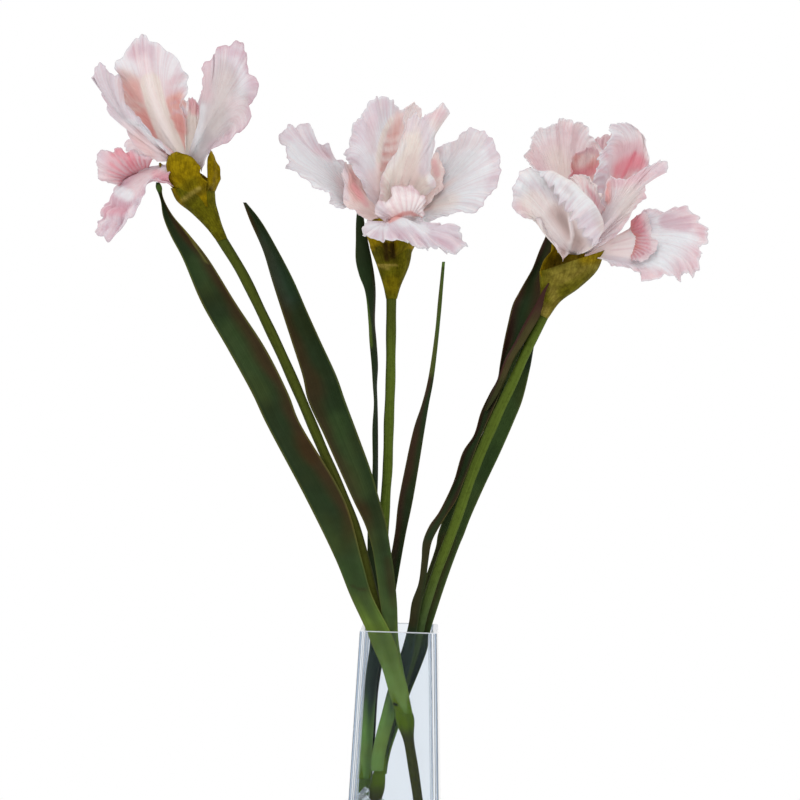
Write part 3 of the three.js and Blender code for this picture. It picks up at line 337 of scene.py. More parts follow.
LEFT_PETALS = [
    {
        "claw": [183, 160, 3], "ruffle": 2.6, "waves": 5, "shades": "blush lilac coral white",
        "middle": "172 152 4, 150 120 8, 152 100 7, 172 104 6, 186 138 4",
        "margin": (
            "164 154 8, 144 134 12, 128 110 15, 119 88 17, 121 73 17, 119 65 17, 131 45 15, 143 36 14, "
            "152 41 13, 173 54 9, 187 73 4, 187 90 2, 188 104 2, 190 132 4"
        ),
        "folds": (
            "2.4 7 150 74 153 92 159 112 167 134 178 156, -2 5 128 80 142 112 160 144, "
            "-2.2 6 176 106 182 130, 1.2 3 130 74 139 80"
        ),
        # The fawn strip under the upper lobe is a painted shadow.
        "strokes": (
            "mauve 0.6 9 0.8 137 54 141 68, mauve 0.35 6 0.8 150 50 160 62, white 0.7 8 0.6 124 66 136 70, "
            "white 0.6 12 0.7 168 64 179 82, salmon 0.95 9 0.5 121 84 128 94, "
            "fawn 0.9 7 0.6 124 76 132 80 137 84, salmon 0.95 10 0.6 133 90 138 104 144 116, "
            "salmon 0.95 9 0.35 148 122 160 142, coral 0.6 8 0.8 148 122 158 140, "
            "cream 0.5 2 0.8 126 100 136 103 146 106, cream 0.4 1.6 0.8 129 108 140 110, "
            "salmon 0.95 10 0.35 176 104 182 118 184 136, coral 0.5 5 0.9 180 114 184 130, "
            "pink 0.5 4 0.8 171 84 182 78, pink 0.5 3 0.8 170 92 184 90, salmon 0.8 4 0.7 181 96 182 112, "
            "pink 0.6 1.5 0.7 172 104 180 101, pink 0.6 1.5 0.7 174 114 182 110, "
            "bright 0.5 6 0.9 144 62 148 78, cream 1.0 10 0.15 152 84 158 108 165 126 172 142 178 156, "
            "bright 0.5 4 0.8 150 80 156 102 163 122 172 146, coral 0.5 1.2 0.7 176 98 184 106 186 118, "
            "coral 0.5 1.2 0.7 172 118 182 124, coral 0.45 1.2 0.7 176 128 184 132, "
            "blush 0.6 1.2 0.7 174 110 184 114, coral 0.4 1.3 0.7 124 88 134 96, "
            "coral 0.4 1.3 0.7 130 100 140 106, coral 0.45 1.3 0.7 138 114 148 118, "
            "coral 0.45 1.3 0.7 146 126 156 132"
        ),
    },
    {
        "claw": [180, 162, -2], "ruffle": 2, "shades": "lilac lilac salmon lilac",
        "middle": "168 161 -8, 144 140 -13, 127 117 -10, 144 127 -16, 172 155 -12",
        "margin": (
            "158 162 -8, 144 154 -10, 131 136 -8, 124 121 -4, 112 116 0, 108 100 4, 102 86 7, 92 79 9, "
            "97 72 10, 104 65 10, 111 71 9, 119 77 7, 121 90 3, 127 104 -1, 133 117 -5, 145 125 -9, "
            "152 138 -12, 160 146 -13, 168 153 -12"
        ),
        "folds": "1.6 4 120 92 130 112 146 128 158 145",
        "strokes": (
            "stone 0.4 8 0.8 104 78 114 98 124 116, fawn 0.6 4 0.8 122 82 126 98, "
            "blush 0.9 9 0.5 130 128 142 142 158 156, salmon 0.4 6 0.8 138 140 150 154, "
            "white 0.7 2.5 0.6 130 121 142 126 152 138 162 147"
        ),
    },
    {
        "claw": [194, 158, -5], "ruffle": 2, "shades": "stone lilac stone mauve", "jag": 1.8,
        "middle": "200 122 -8, 208 102 -20, 222 98 -26, 234 108 -24, 199 164 -5",
        "margin": (
            "198 126 -4, 203 106 -7, 208 90 -9, 202 79 -11, 205 66 -13, 218 59 -14, 216 51 -14, "
            "227 45 -14, 240 45 -15, 248 54 -16, 251 72 -18, 258 88 -20, 253 106 -23, 250 121 -23, "
            "238 134 -20, 222 145 -14, 208 153 -9, 202 172 -5"
        ),
        "folds": "1.8 7 214 56 210 84 206 110, -1.6 9 232 64 226 104 208 146",
        "strokes": (
            "pink 0.45 7 0.8 208 60 206 84 208 96, lilac 0.8 9 0.7 230 50 248 66 254 88, "
            "mauve 0.5 4 0.8 222 50 244 56 255 84 250 112, stone 0.8 9 0.8 224 76 226 100 220 124, "
            "white 0.4 4 0.8 238 60 244 80 240 100, cream 0.3 8 0.8 226 80 222 104 214 126, "
            "mauve 0.4 4 0.8 212 146 228 138 240 128, white 0.6 4 0.8 203 108 200 128 196 150, "
            "blush 0.6 8 0.8 236 104 240 122"
        ),
    },
    {
        "claw": [180, 166, -4], "ruffle": 2.4, "shades": "mauve mauve blush lilac", "jag": 1.4,
        "middle": "156 166 4, 138 176 4, 136 184 -4, 144 184 -12, 170 174 -12",
        "margin": (
            "148 168 6, 138 170 12, 127 179 18, 119 191 21, 114 199 21, 107 206 20, 103 214 17, 98 218 14, "
            "98 229 8, 107 239 -2, 121 229 -9, 134 215 -14, 144 194 -18, 154 181 -18, 166 179 -14, "
            "175 187 -8"
        ),
        "folds": (
            "-3.4 3.5 112 204 124 208 134 204, -3.4 3.5 102 216 116 222 126 214, "
            "-2.4 3 100 228 112 230 120 222, 1.8 5 119 196 131 193"
        ),
        # Mauve and rose along the valleys of the folds are painted shade, and white along the raised fold
        # is a painted highlight.
        "strokes": (
            "blush 0.8 7 0.7 148 170 140 182 134 192, mauve 0.8 7 0.8 112 204 132 204, "
            "rose 0.25 7 0.9 106 212 124 212, lilac 0.8 3.5 0.7 140 200 134 210 122 224, "
            "lilac 0.7 4 0.8 104 222 118 218, lilac 0.7 4 0.8 104 234 114 230, "
            "white 0.85 6 0.4 121 191 129 195, rose 0.4 5 0.6 158 174 172 180, "
            "lilac 0.9 3 0.7 150 166 164 166 174 170"
        ),
    },
    {
        "claw": [184, 160, 8], "ruffle": 2.8,
        "middle": "150 158 22, 142 146 34, 148 134 42, 160 128 44, 176 140 30",
        "margin": (
            "160 160 16, 140 160 34, 130 150 52, 132 134 66, 142 118 74, 156 108 74, 168 112 64, "
            "178 126 48, 182 142 26"
        ),
    },
    {
        "claw": [192, 160, 7], "ruffle": 2.8,
        "middle": "192 140 26, 202 122 36, 212 112 38, 222 116 34, 216 140 20",
        "margin": (
            "192 146 18, 194 120 40, 202 96 54, 214 80 60, 230 76 58, 240 88 50, 240 106 38, 232 126 26, "
            "214 146 14"
        ),
    },
]

LEFT_CRESTS = [
    {
        "claw": [137, 175, 14], "width": 25, "ruffle": 1.6, "waves": 5, "sink": 0,
        "shades": "pink lilac pink lilac",
        "middle": "121 185 12, 114 173 6, 124 163 2, 137 160 -4, 152 162 -5",
        "margin": (
            "119 187 14, 104 180 13, 98 171 12, 98 162 10, 104 150 8, 114 151 4, 121 148 2, 130 152 -1, "
            "138 150 -4, 144 156 -6, 155 157 -7"
        ),
        "pleats": "0.45 11 0.1", "stripes": "rose 0.5 11 -0.2 0.8",
        "strokes": (
            "rose 0.7 5 0.8 116 152 126 150, rose 0.6 4 0.7 131 156 133 164, "
            "rose 0.25 3 0.6 123 183 130 176 137 170 150 166, blush 0.6 6 0.8 101 168 106 178 114 184"
        ),
    },
    {
        "claw": [190, 160, 2], "width": 4, "ruffle": 1.6, "waves": 4, "shades": "cream pink cream lilac",
        "middle": "187 142 0, 187 130 1, 191 124 2, 196 128 2, 200 142 1",
        "margin": (
            "187 120 0, 183 112 0, 181 104 0, 184 99 0, 188 102 1, 191 98 2, 196 100 3, 200 106 3, "
            "199 116 2"
        ),
        "pleats": "0.5 5 0.4",
        "strokes": (
            "salmon 0.95 5 0.5 183 100 184 114, rose 0.45 5.5 0.5 194 103 196 110, "
            "bright 0.9 1.1 0.5 181 97 186 100 189 103 188 111, lilac 0.8 2 0.7 184 108 187 114, "
            "coral 0.8 4 0.7 183 118 184 132"
        ),
    },
    {
        "claw": [186, 160, 5], "width": 4, "ruffle": 1.2, "waves": 3, "shades": "coral blush coral white",
        "middle": "172 148 14, 166 138 20, 170 130 24, 176 134 22, 184 144 14",
        "margin": "166 140 20, 158 130 28, 160 118 34, 168 112 36, 176 118 34, 180 132 26",
    },
]

MIDDLE_PETALS = [
    {
        "claw": [387, 214, -3], "ruffle": 2.4, "waves": 7, "shades": "white lilac glow white",
        "middle": "380 209 -8, 366 162 -24, 380 152 -12, 392 154 6, 394 196 6",
        "margin": (
            "374 206 -12, 359 179 -22, 349 163 -24, 347 150 -23, 352 130 -20, 362 115 -16, 371 101 -10, "
            "383 97 -2, 395 104 8, 402 113 16, 408 140 20, 399 186 10"
        ),
        "folds": (
            "2.2 3 391 120 384 132 380 146 378 160 378 174 380 190, 1.0 2.5 382 152 393 156, "
            "1.0 2.5 381 162 391 165, 1.0 2.5 384 142 396 141"
        ),
        "strokes": (
            "lilac 0.9 12 0.7 372 108 359 132 356 152 362 168, white 0.5 6 0.8 353 150 366 150 368 164, "
            "pink 0.35 5 0.9 372 120 372 150, glow 0.95 11 0.4 402 122 394 138 388 160 384 186, "
            "salmon 0.6 4 0.7 386 154 394 152, salmon 0.6 4 0.7 384 166 390 168, "
            "coral 0.5 1.1 0.6 388 136 398 133, coral 0.5 1.1 0.6 385 145 396 143, "
            "coral 0.55 1.1 0.6 383 154 394 155, coral 0.55 1.1 0.6 382 162 391 164, "
            "coral 0.55 1.1 0.6 381 170 388 173, bright 0.5 1.2 0.7 385 150 395 149, "
            "bright 0.5 1.2 0.7 383 158 392 159, salmon 0.6 5 0.8 400 124 392 136, "
            "cream 0.95 2.2 0.5 391 120 384 132 380 146 378 160, blush 0.8 6 0.8 371 176 374 192 377 204"
        ),
    },
    {
        "claw": [394, 216, -10], "width": 6, "ruffle": 1.6, "shades": "cream blush glow white",
        "middle": "385 209 -14, 398 166 -28, 412 156 -30, 422 166 -28, 418 200 -20",
        "margin": (
            "377 208 -12, 379 194 -17, 384 176 -21, 391 159 -24, 401 143 -25, 408 131 -24, 410 117 -20, "
            "417 112 -18, 421 120 -20, 427 116 -19, 434 109 -16, 441 105 -13, 449 114 -10, 438 120 -15, "
            "433 134 -20, 434 154 -24, 431 172 -26, 434 185 -24, 424 196 -18"
        ),
        "folds": (
            "1.6 3 424 124 426 146 424 164 428 182, -1.6 7 412 150 410 180, "
            "1.4 3.5 408 136 394 158 386 182, 1.0 3 418 134 420 150"
        ),
        "strokes": (
            "lilac 0.8 6 0.7 424 120 428 146 424 170, pink 0.6 5 0.8 428 114 436 114, "
            "white 0.6 3 0.8 432 130 431 160 431 182, lilac 0.6 5 0.8 413 116 412 128, "
            "fawn 0.45 7 0.9 411 160 412 178, white 0.4 3 0.8 404 144 392 166"
        ),
    },
    {
        # This back standard lies in shade and is painted lighter all over, as painted light.
        "claw": [394, 214, 6], "ruffle": 0.8, "waves": 4, "shades": "bright bright bright bright",
        "ruffle_painted_shade": "cream",
        "middle": "384 186 20, 388 160 30, 400 150 34, 414 156 32, 420 184 22",
        "margin": (
            "382 192 16, 376 156 28, 386 126 32, 401 111 28, 414 103 24, 421 112 24, 427 132 28, "
            "430 160 26, 422 192 16"
        ),
    },
    {
        "claw": [386, 217, -4], "width": 6, "ruffle": 2.8, "waves": 7, "shades": "white white white lilac",
        "middle": "379 217 -8, 342 196 -20, 334 182 -10, 340 172 0, 374 202 2",
        "margin": (
            "374 219 -12, 356 210 -22, 338 207 -27, 329 196 -29, 318 190 -30, 306 175 -30, 286 170 -27, "
            "290 155 -20, 280 137 -10, 292 125 0, 309 126 6, 311 140 7, 326 146 8, 329 154 8, 345 164 10, "
            "366 190 4"
        ),
        "folds": (
            "2.4 4 286 146 304 150 324 162 344 172, -1.4 5 300 162 330 186 352 204, 1.4 3 312 178 330 196"
        ),
        "pleats": "0.16 30 0.3",
        "strokes": (
            "lilac 0.8 6 0.8 284 138 300 132 308 142 326 152, white 0.6 6 0.8 300 158 330 176, "
            "pink 0.4 4 0.8 316 150 330 158, blush 0.6 5 0.8 340 180 350 200"
        ),
    },
    {
        "claw": [404, 218, 0], "width": 6, "ruffle": 2.4, "waves": 7, "shades": "white white glow lilac",
        "middle": "430 176 16, 444 168 12, 456 176 2, 456 194 -10, 438 210 -14, 416 219 -12",
        "margin": (
            "430 170 14, 437 149 20, 452 141 20, 464 132 18, 478 129 15, 488 135 10, 496 148 4, "
            "500 163 -4, 498 183 -12, 489 194 -17, 480 208 -20, 466 213 -22, 450 213 -21, 437 218 -18, "
            "426 223 -14"
        ),
        "folds": "-1.4 5 444 156 464 146 486 142, 1.2 4 450 200 476 196",
        "pleats": "0.16 34 0.3",
        "strokes": (
            "blush 0.35 8 0.8 448 150 466 142 484 138, lilac 0.7 5 0.8 488 140 498 168 490 186, "
            "coral 0.6 3 0.7 435 156 436 164, cream 0.6 7 0.8 436 206 452 200"
        ),
    },
    {
        "claw": [403, 213, -14], "width": 20, "ruffle": 2.8, "waves": 8, "sink": 0.9,
        "shades": "lilac lilac glow white",
        "middle": "380 221 -30, 386 225 -42, 404 220 -48, 424 226 -44, 414 217 -22",
        "margin": (
            "370 222 -26, 362 233 -38, 373 238 -50, 388 241 -60, 405 240 -66, 422 250 -70, 432 246 -66, "
            "447 252 -64, 465 247 -54, 460 231 -44, 444 225 -36, 434 226 -32, 422 219 -24"
        ),
        "folds": (
            "1.6 4 384 230 388 240, 1.6 4 406 226 410 240, -1.4 4 396 228 398 238, -2 4 430 230 434 244, "
            "1.6 5 446 230 450 246"
        ),
        # The mauve patches are painted shade.
        "strokes": (
            "white 0.9 5 0.6 402 222 414 220 424 230, white 0.6 3 0.8 370 226 386 228, "
            "mauve 0.45 5 0.9 392 234 402 236, mauve 0.45 6 0.9 440 240 458 244, "
            "pink 0.4 3 0.8 416 236 420 246, coral 0.9 2 0.6 390 221 398 217 404 214"
        ),
    },
]

MIDDLE_CRESTS = [
    {
        "claw": [404, 217, -29], "width": 24, "ruffle": 1.6, "sink": 0,
        "shades": "bright blush bright pink",
        "middle": "387 220 -31, 384 212 -35, 402 202 -35, 418 205 -35, 421 217 -32",
        "margin": (
            "386 221 -32, 378 216 -34, 374 210 -34, 378 203 -33, 388 199 -32, 393 188 -31, 401 185 -31, "
            "412 187 -31, 422 194 -32, 425 202 -33, 423 211 -33, 422 218 -32"
        ),
        "pleats": "0.4 13 0.05", "stripes": "pink 0.45 13 -0.2 1.0",
        "strokes": (
            "coral 0.8 2 0.6 392 219 403 213 411 212 421 218, pink 0.6 2.2 0.7 405 186 414 190 423 195, "
            "lilac 0.7 5 0.8 380 208 386 214"
        ),
    },
    {
        "claw": [384, 216, -4], "width": 6, "ruffle": 1.4, "waves": 5, "shades": "glow glow glow lilac",
        "middle": "378 218 -12, 362 208 -20, 360 198 -20, 363 184 -12, 382 204 -8",
        "margin": (
            "372 220 -20, 356 212 -26, 347 206 -28, 343 196 -27, 345 184 -25, 343 172 -20, 345 162 -12, "
            "351 164 -6, 362 172 -4, 374 186 -6, 383 200 -8"
        ),
        "folds": "-1.6 3 352 184 358 196, 1.2 3 351 176 360 184",
        "strokes": (
            "coral 0.6 6 0.7 352 176 352 186 358 196, rose 0.4 3 0.7 354 186 366 204, "
            "blush 0.9 3 0.4 344 168 346 178 344 188 347 198"
        ),
    },
    {
        "claw": [400, 216, 2], "ruffle": 1.4, "waves": 4, "shades": "glow glow glow blush",
        "middle": "416 188 6, 426 176 6, 432 180 0, 430 192 -6, 414 210 -8",
        "margin": (
            "428 164 10, 434 155 12, 438 152 12, 441 162 8, 443 174 3, 443 185 -2, 437 194 -7, "
            "430 202 -10, 423 209 -13"
        ),
        "strokes": "rose 0.35 3 0.7 434 162 437 174",
    },
]

RIGHT_PETALS = [
    {
        "claw": [576, 246, 6], "ruffle": 2.8, "shades": "blush bright bright white", "ruffle_painted_shade": "pink",
        "middle": "548 204 16, 548 180 24, 560 168 26, 576 166 26, 592 190 18",
        "margin": (
            "540 194 16, 530 168 20, 527 152 22, 531 138 24, 546 126 26, 562 120 27, 578 122 27, "
            "592 136 26, 604 160 22, 606 192 14"
        ),
        "folds": "1.0 4 536 132 546 152, 1.0 4 552 126 556 150, 1.0 4 570 124 568 146",
        "strokes": (
            "pink 0.35 7 0.8 530 150 538 168, cream 0.7 10 0.9 556 158 564 172, "
            "white 0.6 6 0.9 534 138 556 128, pink 0.35 6 0.9 560 128 578 134, "
            "white 0.5 5 0.8 582 132 588 140"
        ),
    },
    {
        "claw": [566, 254, -8], "width": 6, "ruffle": 1.6, "waves": 8, "shades": "cream lilac bright lilac",
        "jag": 2.4,
        "middle": (
            "565 256 -12, 547 236 -18, 536 212 -24, 544 194 -30, 562 182 -36, 585 196 -38, 602 222 -36, "
            "592 247 -26"
        ),
        "margin": (
            "562 261 -12, 556 244 -16, 546 229 -19, 539 219 -22, 528 216 -25, 516 213 -28, 512 197 -31, "
            "514 184 -34, 520 172 -36, 529 167 -38, 537 172 -40, 545 180 -42, 552 189 -44, 558 197 -45, "
            "564 206 -46, 570 215 -46, 577 223 -45, 583 232 -44, 590 240 -41, 596 245 -37, 602 236 -26"
        ),
        "folds": (
            "1.2 4 530 174 540 186, 1.2 4 520 186 528 200, -1.2 3 556 186 560 198, 1.2 3 566 188 572 200, "
            "-1.2 3 576 196 584 208, 1.4 2 569 216 572 234 566 256"
        ),
        # Fawn and taupe under the rolled band and at the claw are painted shade.
        "strokes": (
            "white 0.9 11 0.7 520 184 534 178 550 184 570 194 590 212, "
            "lilac 0.6 4 0.8 532 184 552 196 568 206, lilac 0.9 8 0.5 584 218 594 238, "
            "stone 0.6 4 0.8 594 212 599 226, stone 0.6 3 0.8 545 182 552 188, "
            "stone 0.5 3 0.8 562 186 570 192, pink 0.4 5 0.8 518 206 524 212, "
            "bright 0.7 12 0.8 538 204 552 222 562 240, blush 0.7 5 0.8 562 250 580 246, "
            "fawn 0.9 8 0.7 556 212 568 228 578 242, taupe 0.7 4 0.9 560 216 571 230 578 240, "
            "fawn 0.9 4 0.7 562 252 563 260, bright 0.9 1.8 0.6 569 216 572 234 566 256"
        ),
    },
    {
        "claw": [586, 244, 2], "ruffle": 2, "waves": 8, "shades": "blush lilac coral white", "calm": 0.6,
        "middle": "597 224 -5, 608 172 2, 622 160 12, 634 168 14, 608 232 3",
        "margin": (
            "605 212 -10, 597 202 -12, 591 188 -13, 593 174 -13, 598 165 -12, 596 158 -10, 603 148 -7, "
            "608 134 -3, 610 125 1, 622 123 6, 633 126 10, 642 138 14, 648 157 14, 646 172 12, 624 222 4"
        ),
        "folds": (
            "-1.6 2.5 634 152 621 178, 1.6 4 608 134 601 152 600 176, -1.4 2.5 646 164 624 176, "
            "1.2 4 614 130 622 144"
        ),
        "strokes": (
            "pink 0.8 11 0.7 622 152 636 150 640 160, rose 0.75 8 0.7 618 170 628 164 636 162, "
            "rose 0.7 2 0.7 634 153 621 177, lilac 0.95 7 0.5 607 134 603 152 602 166 598 182 599 204, "
            "pink 0.6 1.6 0.8 601 150 606 156, pink 0.6 1.6 0.8 597 170 605 172, "
            "pink 0.6 1.6 0.8 594 188 602 186, white 0.6 2 0.8 598 162 606 163, "
            "white 0.5 7 0.8 614 130 630 134, pink 0.4 3 0.8 606 156 610 170, "
            "bright 0.9 4 0.7 638 128 645 140 648 156"
        ),
    },
    {
        "claw": [588, 250, -10], "ruffle": 2, "waves": 7, "shades": "blush pink blush white",
        "middle": "602 214 -18, 612 204 -24, 622 202 -26, 630 200 -22, 598 246 -11",
        "margin": (
            "604 220 -16, 605 196 -22, 608 176 -24, 619 180 -27, 634 173 -24, 648 167 -18, 661 159 -12, "
            "665 172 -10, 650 174 -14, 646 187 -18, 639 202 -20, 628 218 -18, 608 242 -12"
        ),
        "pleats": "0.3 26 0.2", "stripes": "white 0.35 26 0.1 1.0",
        "strokes": (
            "pink 0.8 5 0.8 612 182 630 180 642 174, coral 0.8 4 0.8 605 184 606 200, "
            "cream 0.5 9 0.9 630 194 624 210, lilac 0.5 4 0.8 652 168 662 168"
        ),
    },
    {
        "claw": [592, 252, -2], "width": 6, "ruffle": 2.6, "waves": 8, "shades": "white pink glow white",
        "jag": 1.6,
        "middle": "622 232 8, 640 226 8, 656 234 0, 654 248 -6, 630 261 -12, 600 258 -10",
        "margin": (
            "634 224 10, 642 212 16, 659 209 18, 677 208 14, 693 211 9, 701 224 4, 708 236 0, 700 247 -4, "
            "699 261 -10, 693 276 -14, 683 273 -16, 678 280 -18, 664 274 -20, 641 281 -22, 635 268 -19, "
            "622 266 -15, 608 262 -10"
        ),
        "folds": "1.4 4 648 214 652 240, -1.2 5 640 262 672 268, 1.2 4 660 256 690 264",
        "pleats": "0.14 32 0.4",
        "strokes": (
            "bright 0.8 13 0.5 606 246 630 246, coral 0.4 2.5 0.8 606 240 616 233 630 228, "
            "pink 0.35 0.8 0.7 610 244 630 238, pink 0.35 0.8 0.7 610 250 632 248, "
            "lilac 0.6 5 0.8 648 214 650 226, mauve 0.7 8 0.35 666 221 684 223, "
            "pink 0.5 4 0.8 700 230 704 240, pink 0.35 4 0.8 640 270 660 272, "
            "lilac 0.7 4 0.8 606 258 628 263"
        ),
    },
    {
        "claw": [582, 248, 8], "ruffle": 2.8, "shades": "blush pink salmon blush",
        "middle": "572 214 26, 580 196 38, 594 188 42, 608 194 40, 606 222 26",
        "margin": (
            "572 220 22, 566 196 40, 572 172 52, 588 148 56, 599 137 54, 612 135 50, 622 152 48, "
            "624 196 42, 614 226 24"
        ),
    },
]

RIGHT_CRESTS = [
    {
        "claw": [630, 237, 4], "width": 34, "ruffle": 1.4, "waves": 5, "sink": 0,
        "shades": "pink blush coral lilac",
        "middle": "635 216 7, 637 227 3, 643 238 -4, 641 250 -10, 631 258 -13",
        "margin": (
            "636 214 7, 642 212 7, 648 215 6, 649 224 3, 652 233 -1, 657 242 -7, 655 250 -12, 648 257 -16, "
            "638 261 -17, 631 260 -16"
        ),
        "pleats": "0.35 14 0.05", "stripes": "rose 0.5 14 -0.2 0.8",
        "strokes": "rose 0.6 6 0.8 634 218 638 228, blush 0.8 3.5 0.7 648 212 652 232 654 244",
    },
    {
        "claw": [580, 240, 0], "width": 4, "ruffle": 1.4, "waves": 4, "shades": "glow bright rose pink",
        "ruffle_painted_shade": "pink",
        "middle": "574 206 6, 574 192 12, 586 184 16, 597 192 12, 600 206 4",
        "margin": (
            "569 186 4, 569 174 7, 571 163 9, 576 153 10, 585 148 11, 594 147 11, 600 154 9, 602 166 6, "
            "603 180 2"
        ),
        "pleats": "0.2 9 0.3",
        "strokes": (
            "coral 0.8 4 0.7 571 172 573 160 578 152, pink 0.9 3 0.7 578 152 586 149 598 152, "
            "rose 0.75 6 0.7 574 176 584 173 596 168, coral 0.6 4 0.8 590 166 598 158"
        ),
    },
    {
        "claw": [584, 240, -8], "width": 4, "ruffle": 2, "shades": "bright glow coral white",
        "middle": "576 212 -10, 582 200 -12, 588 196 -14, 594 200 -16, 600 214 -16",
        "margin": "566 192 -10, 569 178 -12, 580 174 -14, 589 179 -17, 597 192 -20, 604 208 -20",
        "pleats": "0.5 7 0.2", "stripes": "rose 0.25 9 0.1 0.9",
        "strokes": "pink 0.8 3 0.8 590 192 600 206, rose 0.35 1.4 0.7 586 186 594 198 598 212",
    },
]

# Blooms: their depth, the core that their petals grow from, three standards and then three falls, and
# three crests.
BLOOMS = {
    "left": {
        "depth": -34, "core": "200 196 0, 192 174 0, 186 158 0",
        "petals": LEFT_PETALS, "crests": LEFT_CRESTS,
    },
    "middle": {
        "depth": 35, "core": "391 262 0, 392 238 0, 393 216 0",
        "petals": MIDDLE_PETALS, "crests": MIDDLE_CRESTS,
    },
    "right": {
        "depth": -6, "core": "560 288 0, 572 268 0, 582 250 0",
        "petals": RIGHT_PETALS, "crests": RIGHT_CRESTS,
    },
}

# Spathes. A cup section is the column and row of its left side and of its right side, and half its
# depth in mm. The bracts are drawn as petals are.
SPATHES = {
    "left": {
        "depth": -34,
        "cup": (
            "217.5 241 228 238 5, 207.5 228 222.5 224 7.2, 192 212.5 219 212 11.2, "
            "177.5 200.5 216.5 203 14.2, 171.5 188 215.5 191 14.8"
        ),
        "bracts": [
            {
                "claw": [197, 203, -11], "width": 20,
                "middle": "173 185 -6, 176 177 -15, 187 175 -18.5, 198 180 -17.5, 207 188 -13",
                "margin": (
                    "170 178 -4, 167 166 -9, 170 156 -13, 178 152 -15.5, 188 155 -17, 197 160.5 -18, "
                    "201 168 -17.5, 200 174 -17, 209 182 -13"
                ),
            },
            {
                "claw": [190, 198, 6], "width": 12,
                "middle": "176 190 -8, 170 182 -4, 169 178 2, 173 176 8, 180 180 12",
                "margin": "172 182 -8, 163 172 -4, 160 163 2, 168 166 8, 178 172 14",
            },
            {
                "claw": [206, 198, 4], "width": 12,
                "middle": "207 192 -10, 213 182 -6, 216 178 0, 217 184 6, 216 190 10",
                "margin": (
                    "208 184 -11, 208 168 -8, 209 156 -4, 211 149.5 -1, 215 157 1, 220 166 4, 220.5 177 7, "
                    "216.5 188 11"
                ),
            },
            {
                "claw": [198, 196, 12], "width": 16,
                "middle": "180 186 13, 186 181 16, 194 180 17, 202 181 16, 210 186 13",
                "margin": "177 178 13, 181 171 16, 190 168 17, 202 173 17, 211 180 14",
            },
        ],
        # The dark band just below the pale line along the bract's fold is painted shadow.
        "strokes": (
            "spathe 0.95 15 0.5 182 164 194 172, spathe_green 0.6 7 0.8 182 192 194 184, "
            "spathe_dark 0.6 4 0.7 186 202 198 194 209 186, spathe_pale 0.8 2 0.6 183 200 192 193 200 188, "
            "spathe 0.9 3.5 0.6 172 186 175 196 181 205, spathe_green 0.6 12 0.5 208 215 216 230, "
            "spathe 0.95 8 0.5 213 160 217 178"
        ),
    },
    "middle": {
        "depth": 35,
        "cup": (
            "386 298 397 298 4.8, 383.5 286 400.5 286 6.8, 376.5 264 409 265 12.6, 371.5 251 411.5 252 15, "
            "368 238 412 240 15.8"
        ),
        "bracts": [
            {
                "claw": [384, 258, -8], "width": 14,
                "middle": "372 250 -4, 371 240 -10, 378 236 -15, 386 238 -18, 393 248 -18",
                "margin": "370 244 0, 366 230 -4, 370 218 -8, 379 213 -12, 387 222 -17, 393 240 -19",
            },
            {
                "claw": [400, 260, -8], "width": 14,
                "middle": "394 254 -18, 400 244 -18, 408 240 -13, 413 244 -4, 411 252 4",
                "margin": "393 244 -19, 396 230 -18, 404 220 -14, 412 226 -8, 415 240 0, 412 250 7",
            },
            {
                "claw": [392, 256, 10], "width": 18,
                "middle": "377 248 12, 383 238 17, 392 236 19, 401 238 17, 407 248 12",
                "margin": "375 240 12, 380 224 17, 391 214 20, 402 222 18, 409 240 12",
            },
        ],
        "strokes": (
            "spathe_dark 0.6 10 0.6 382 250 392 254, spathe_brown 0.9 3 0.6 386 244 387 258, "
            "spathe_brown 0.9 2.5 0.6 392 244 393 256, spathe_green 0.7 6 0.5 403 244 404 262, "
            "spathe_pale 0.9 1.4 0.4 378 264.5 396 264.5, spathe_pale 0.6 1.6 0.7 381 266 388 267.5, "
            "spathe 0.35 9 0.5 392 284, spathe 0.9 6 0.5 366 222 372 236"
        ),
    },
    "right": {
        "depth": -6,
        "cup": (
            "537.5 313 547.5 318 5, 538.5 302 560 301 8, 540 290 579 287 13, 539 280 597 269 17, "
            "538.5 271 604 249.5 18.5"
        ),
        "bracts": [
            {
                "claw": [552, 288, 4], "width": 12,
                "middle": "542 278 -6, 544 270 -3, 549 264 1, 553 262 5, 554 268 9, 552 274 11",
                "margin": (
                    "540 268.5 -6, 544 259 -4, 551 250.5 -1, 553.5 244 1, 552 236.5 3, 557 242 5, "
                    "557 249 7, 554 258 9, 549 265 11"
                ),
            },
            {
                "claw": [574, 280, 8], "width": 18,
                "middle": "554 272 12, 566 266 16, 580 260 17, 592 256 13, 598 258 6",
                "margin": (
                    "547 262 10, 554 254 13, 564 250 16, 576 248 18, 588 243 18, 598 241 14, 605 248 6"
                ),
            },
        ],
        "strokes": (
            "spathe_pale 0.5 10 0.8 556 276 590 262, spathe 0.8 6 0.7 584 258 600 256, "
            "spathe_dark 0.4 2 0.7 548 289 574 284, spathe_pale 0.8 7 0.7 544 310, "
            "spathe_pale 0.5 5 0.9 552 290 556 304, spathe_pale 0.4 1.2 0.7 560 282 572 276 586 266, "
            "spathe_dark 0.35 0.8 0.7 550 276 566 270 584 262, "
            "spathe_dark 0.35 0.8 0.7 546 296 560 292 570 288, spathe 0.95 4 0.5 554 240 556 248 548 260, "
            "spathe_brown 0.6 6 0.8 552 262 562 259"
        ),
    },
}


# Shapes.


def rows_of(text):
    """Rows of words and numbers, written with commas between the rows."""
    rows = [row.split() for row in text.split(",") if row.strip()]
    return [[word if word[0].isalpha() else float(word) for word in row] for row in rows]


def seen(points):
    """Places in mm of (column, row, depth) points."""
    points = np.asarray(points, float)
    across = (points[..., 0] - AXIS_COLUMN) * STEP
    down = (points[..., 1] - RIM_ROW) * STEP
    depth = points[..., 2]
    x = across * math.cos(LEAN) + down * math.sin(LEAN)
    z = VASE_HEIGHT + across * math.sin(LEAN) - down * math.cos(LEAN)
    spread = 1 + depth / EYE_DISTANCE
    return np.stack([EYE_X + (x - EYE_X) * spread, depth, EYE_Z + (z - EYE_Z) * spread], -1)


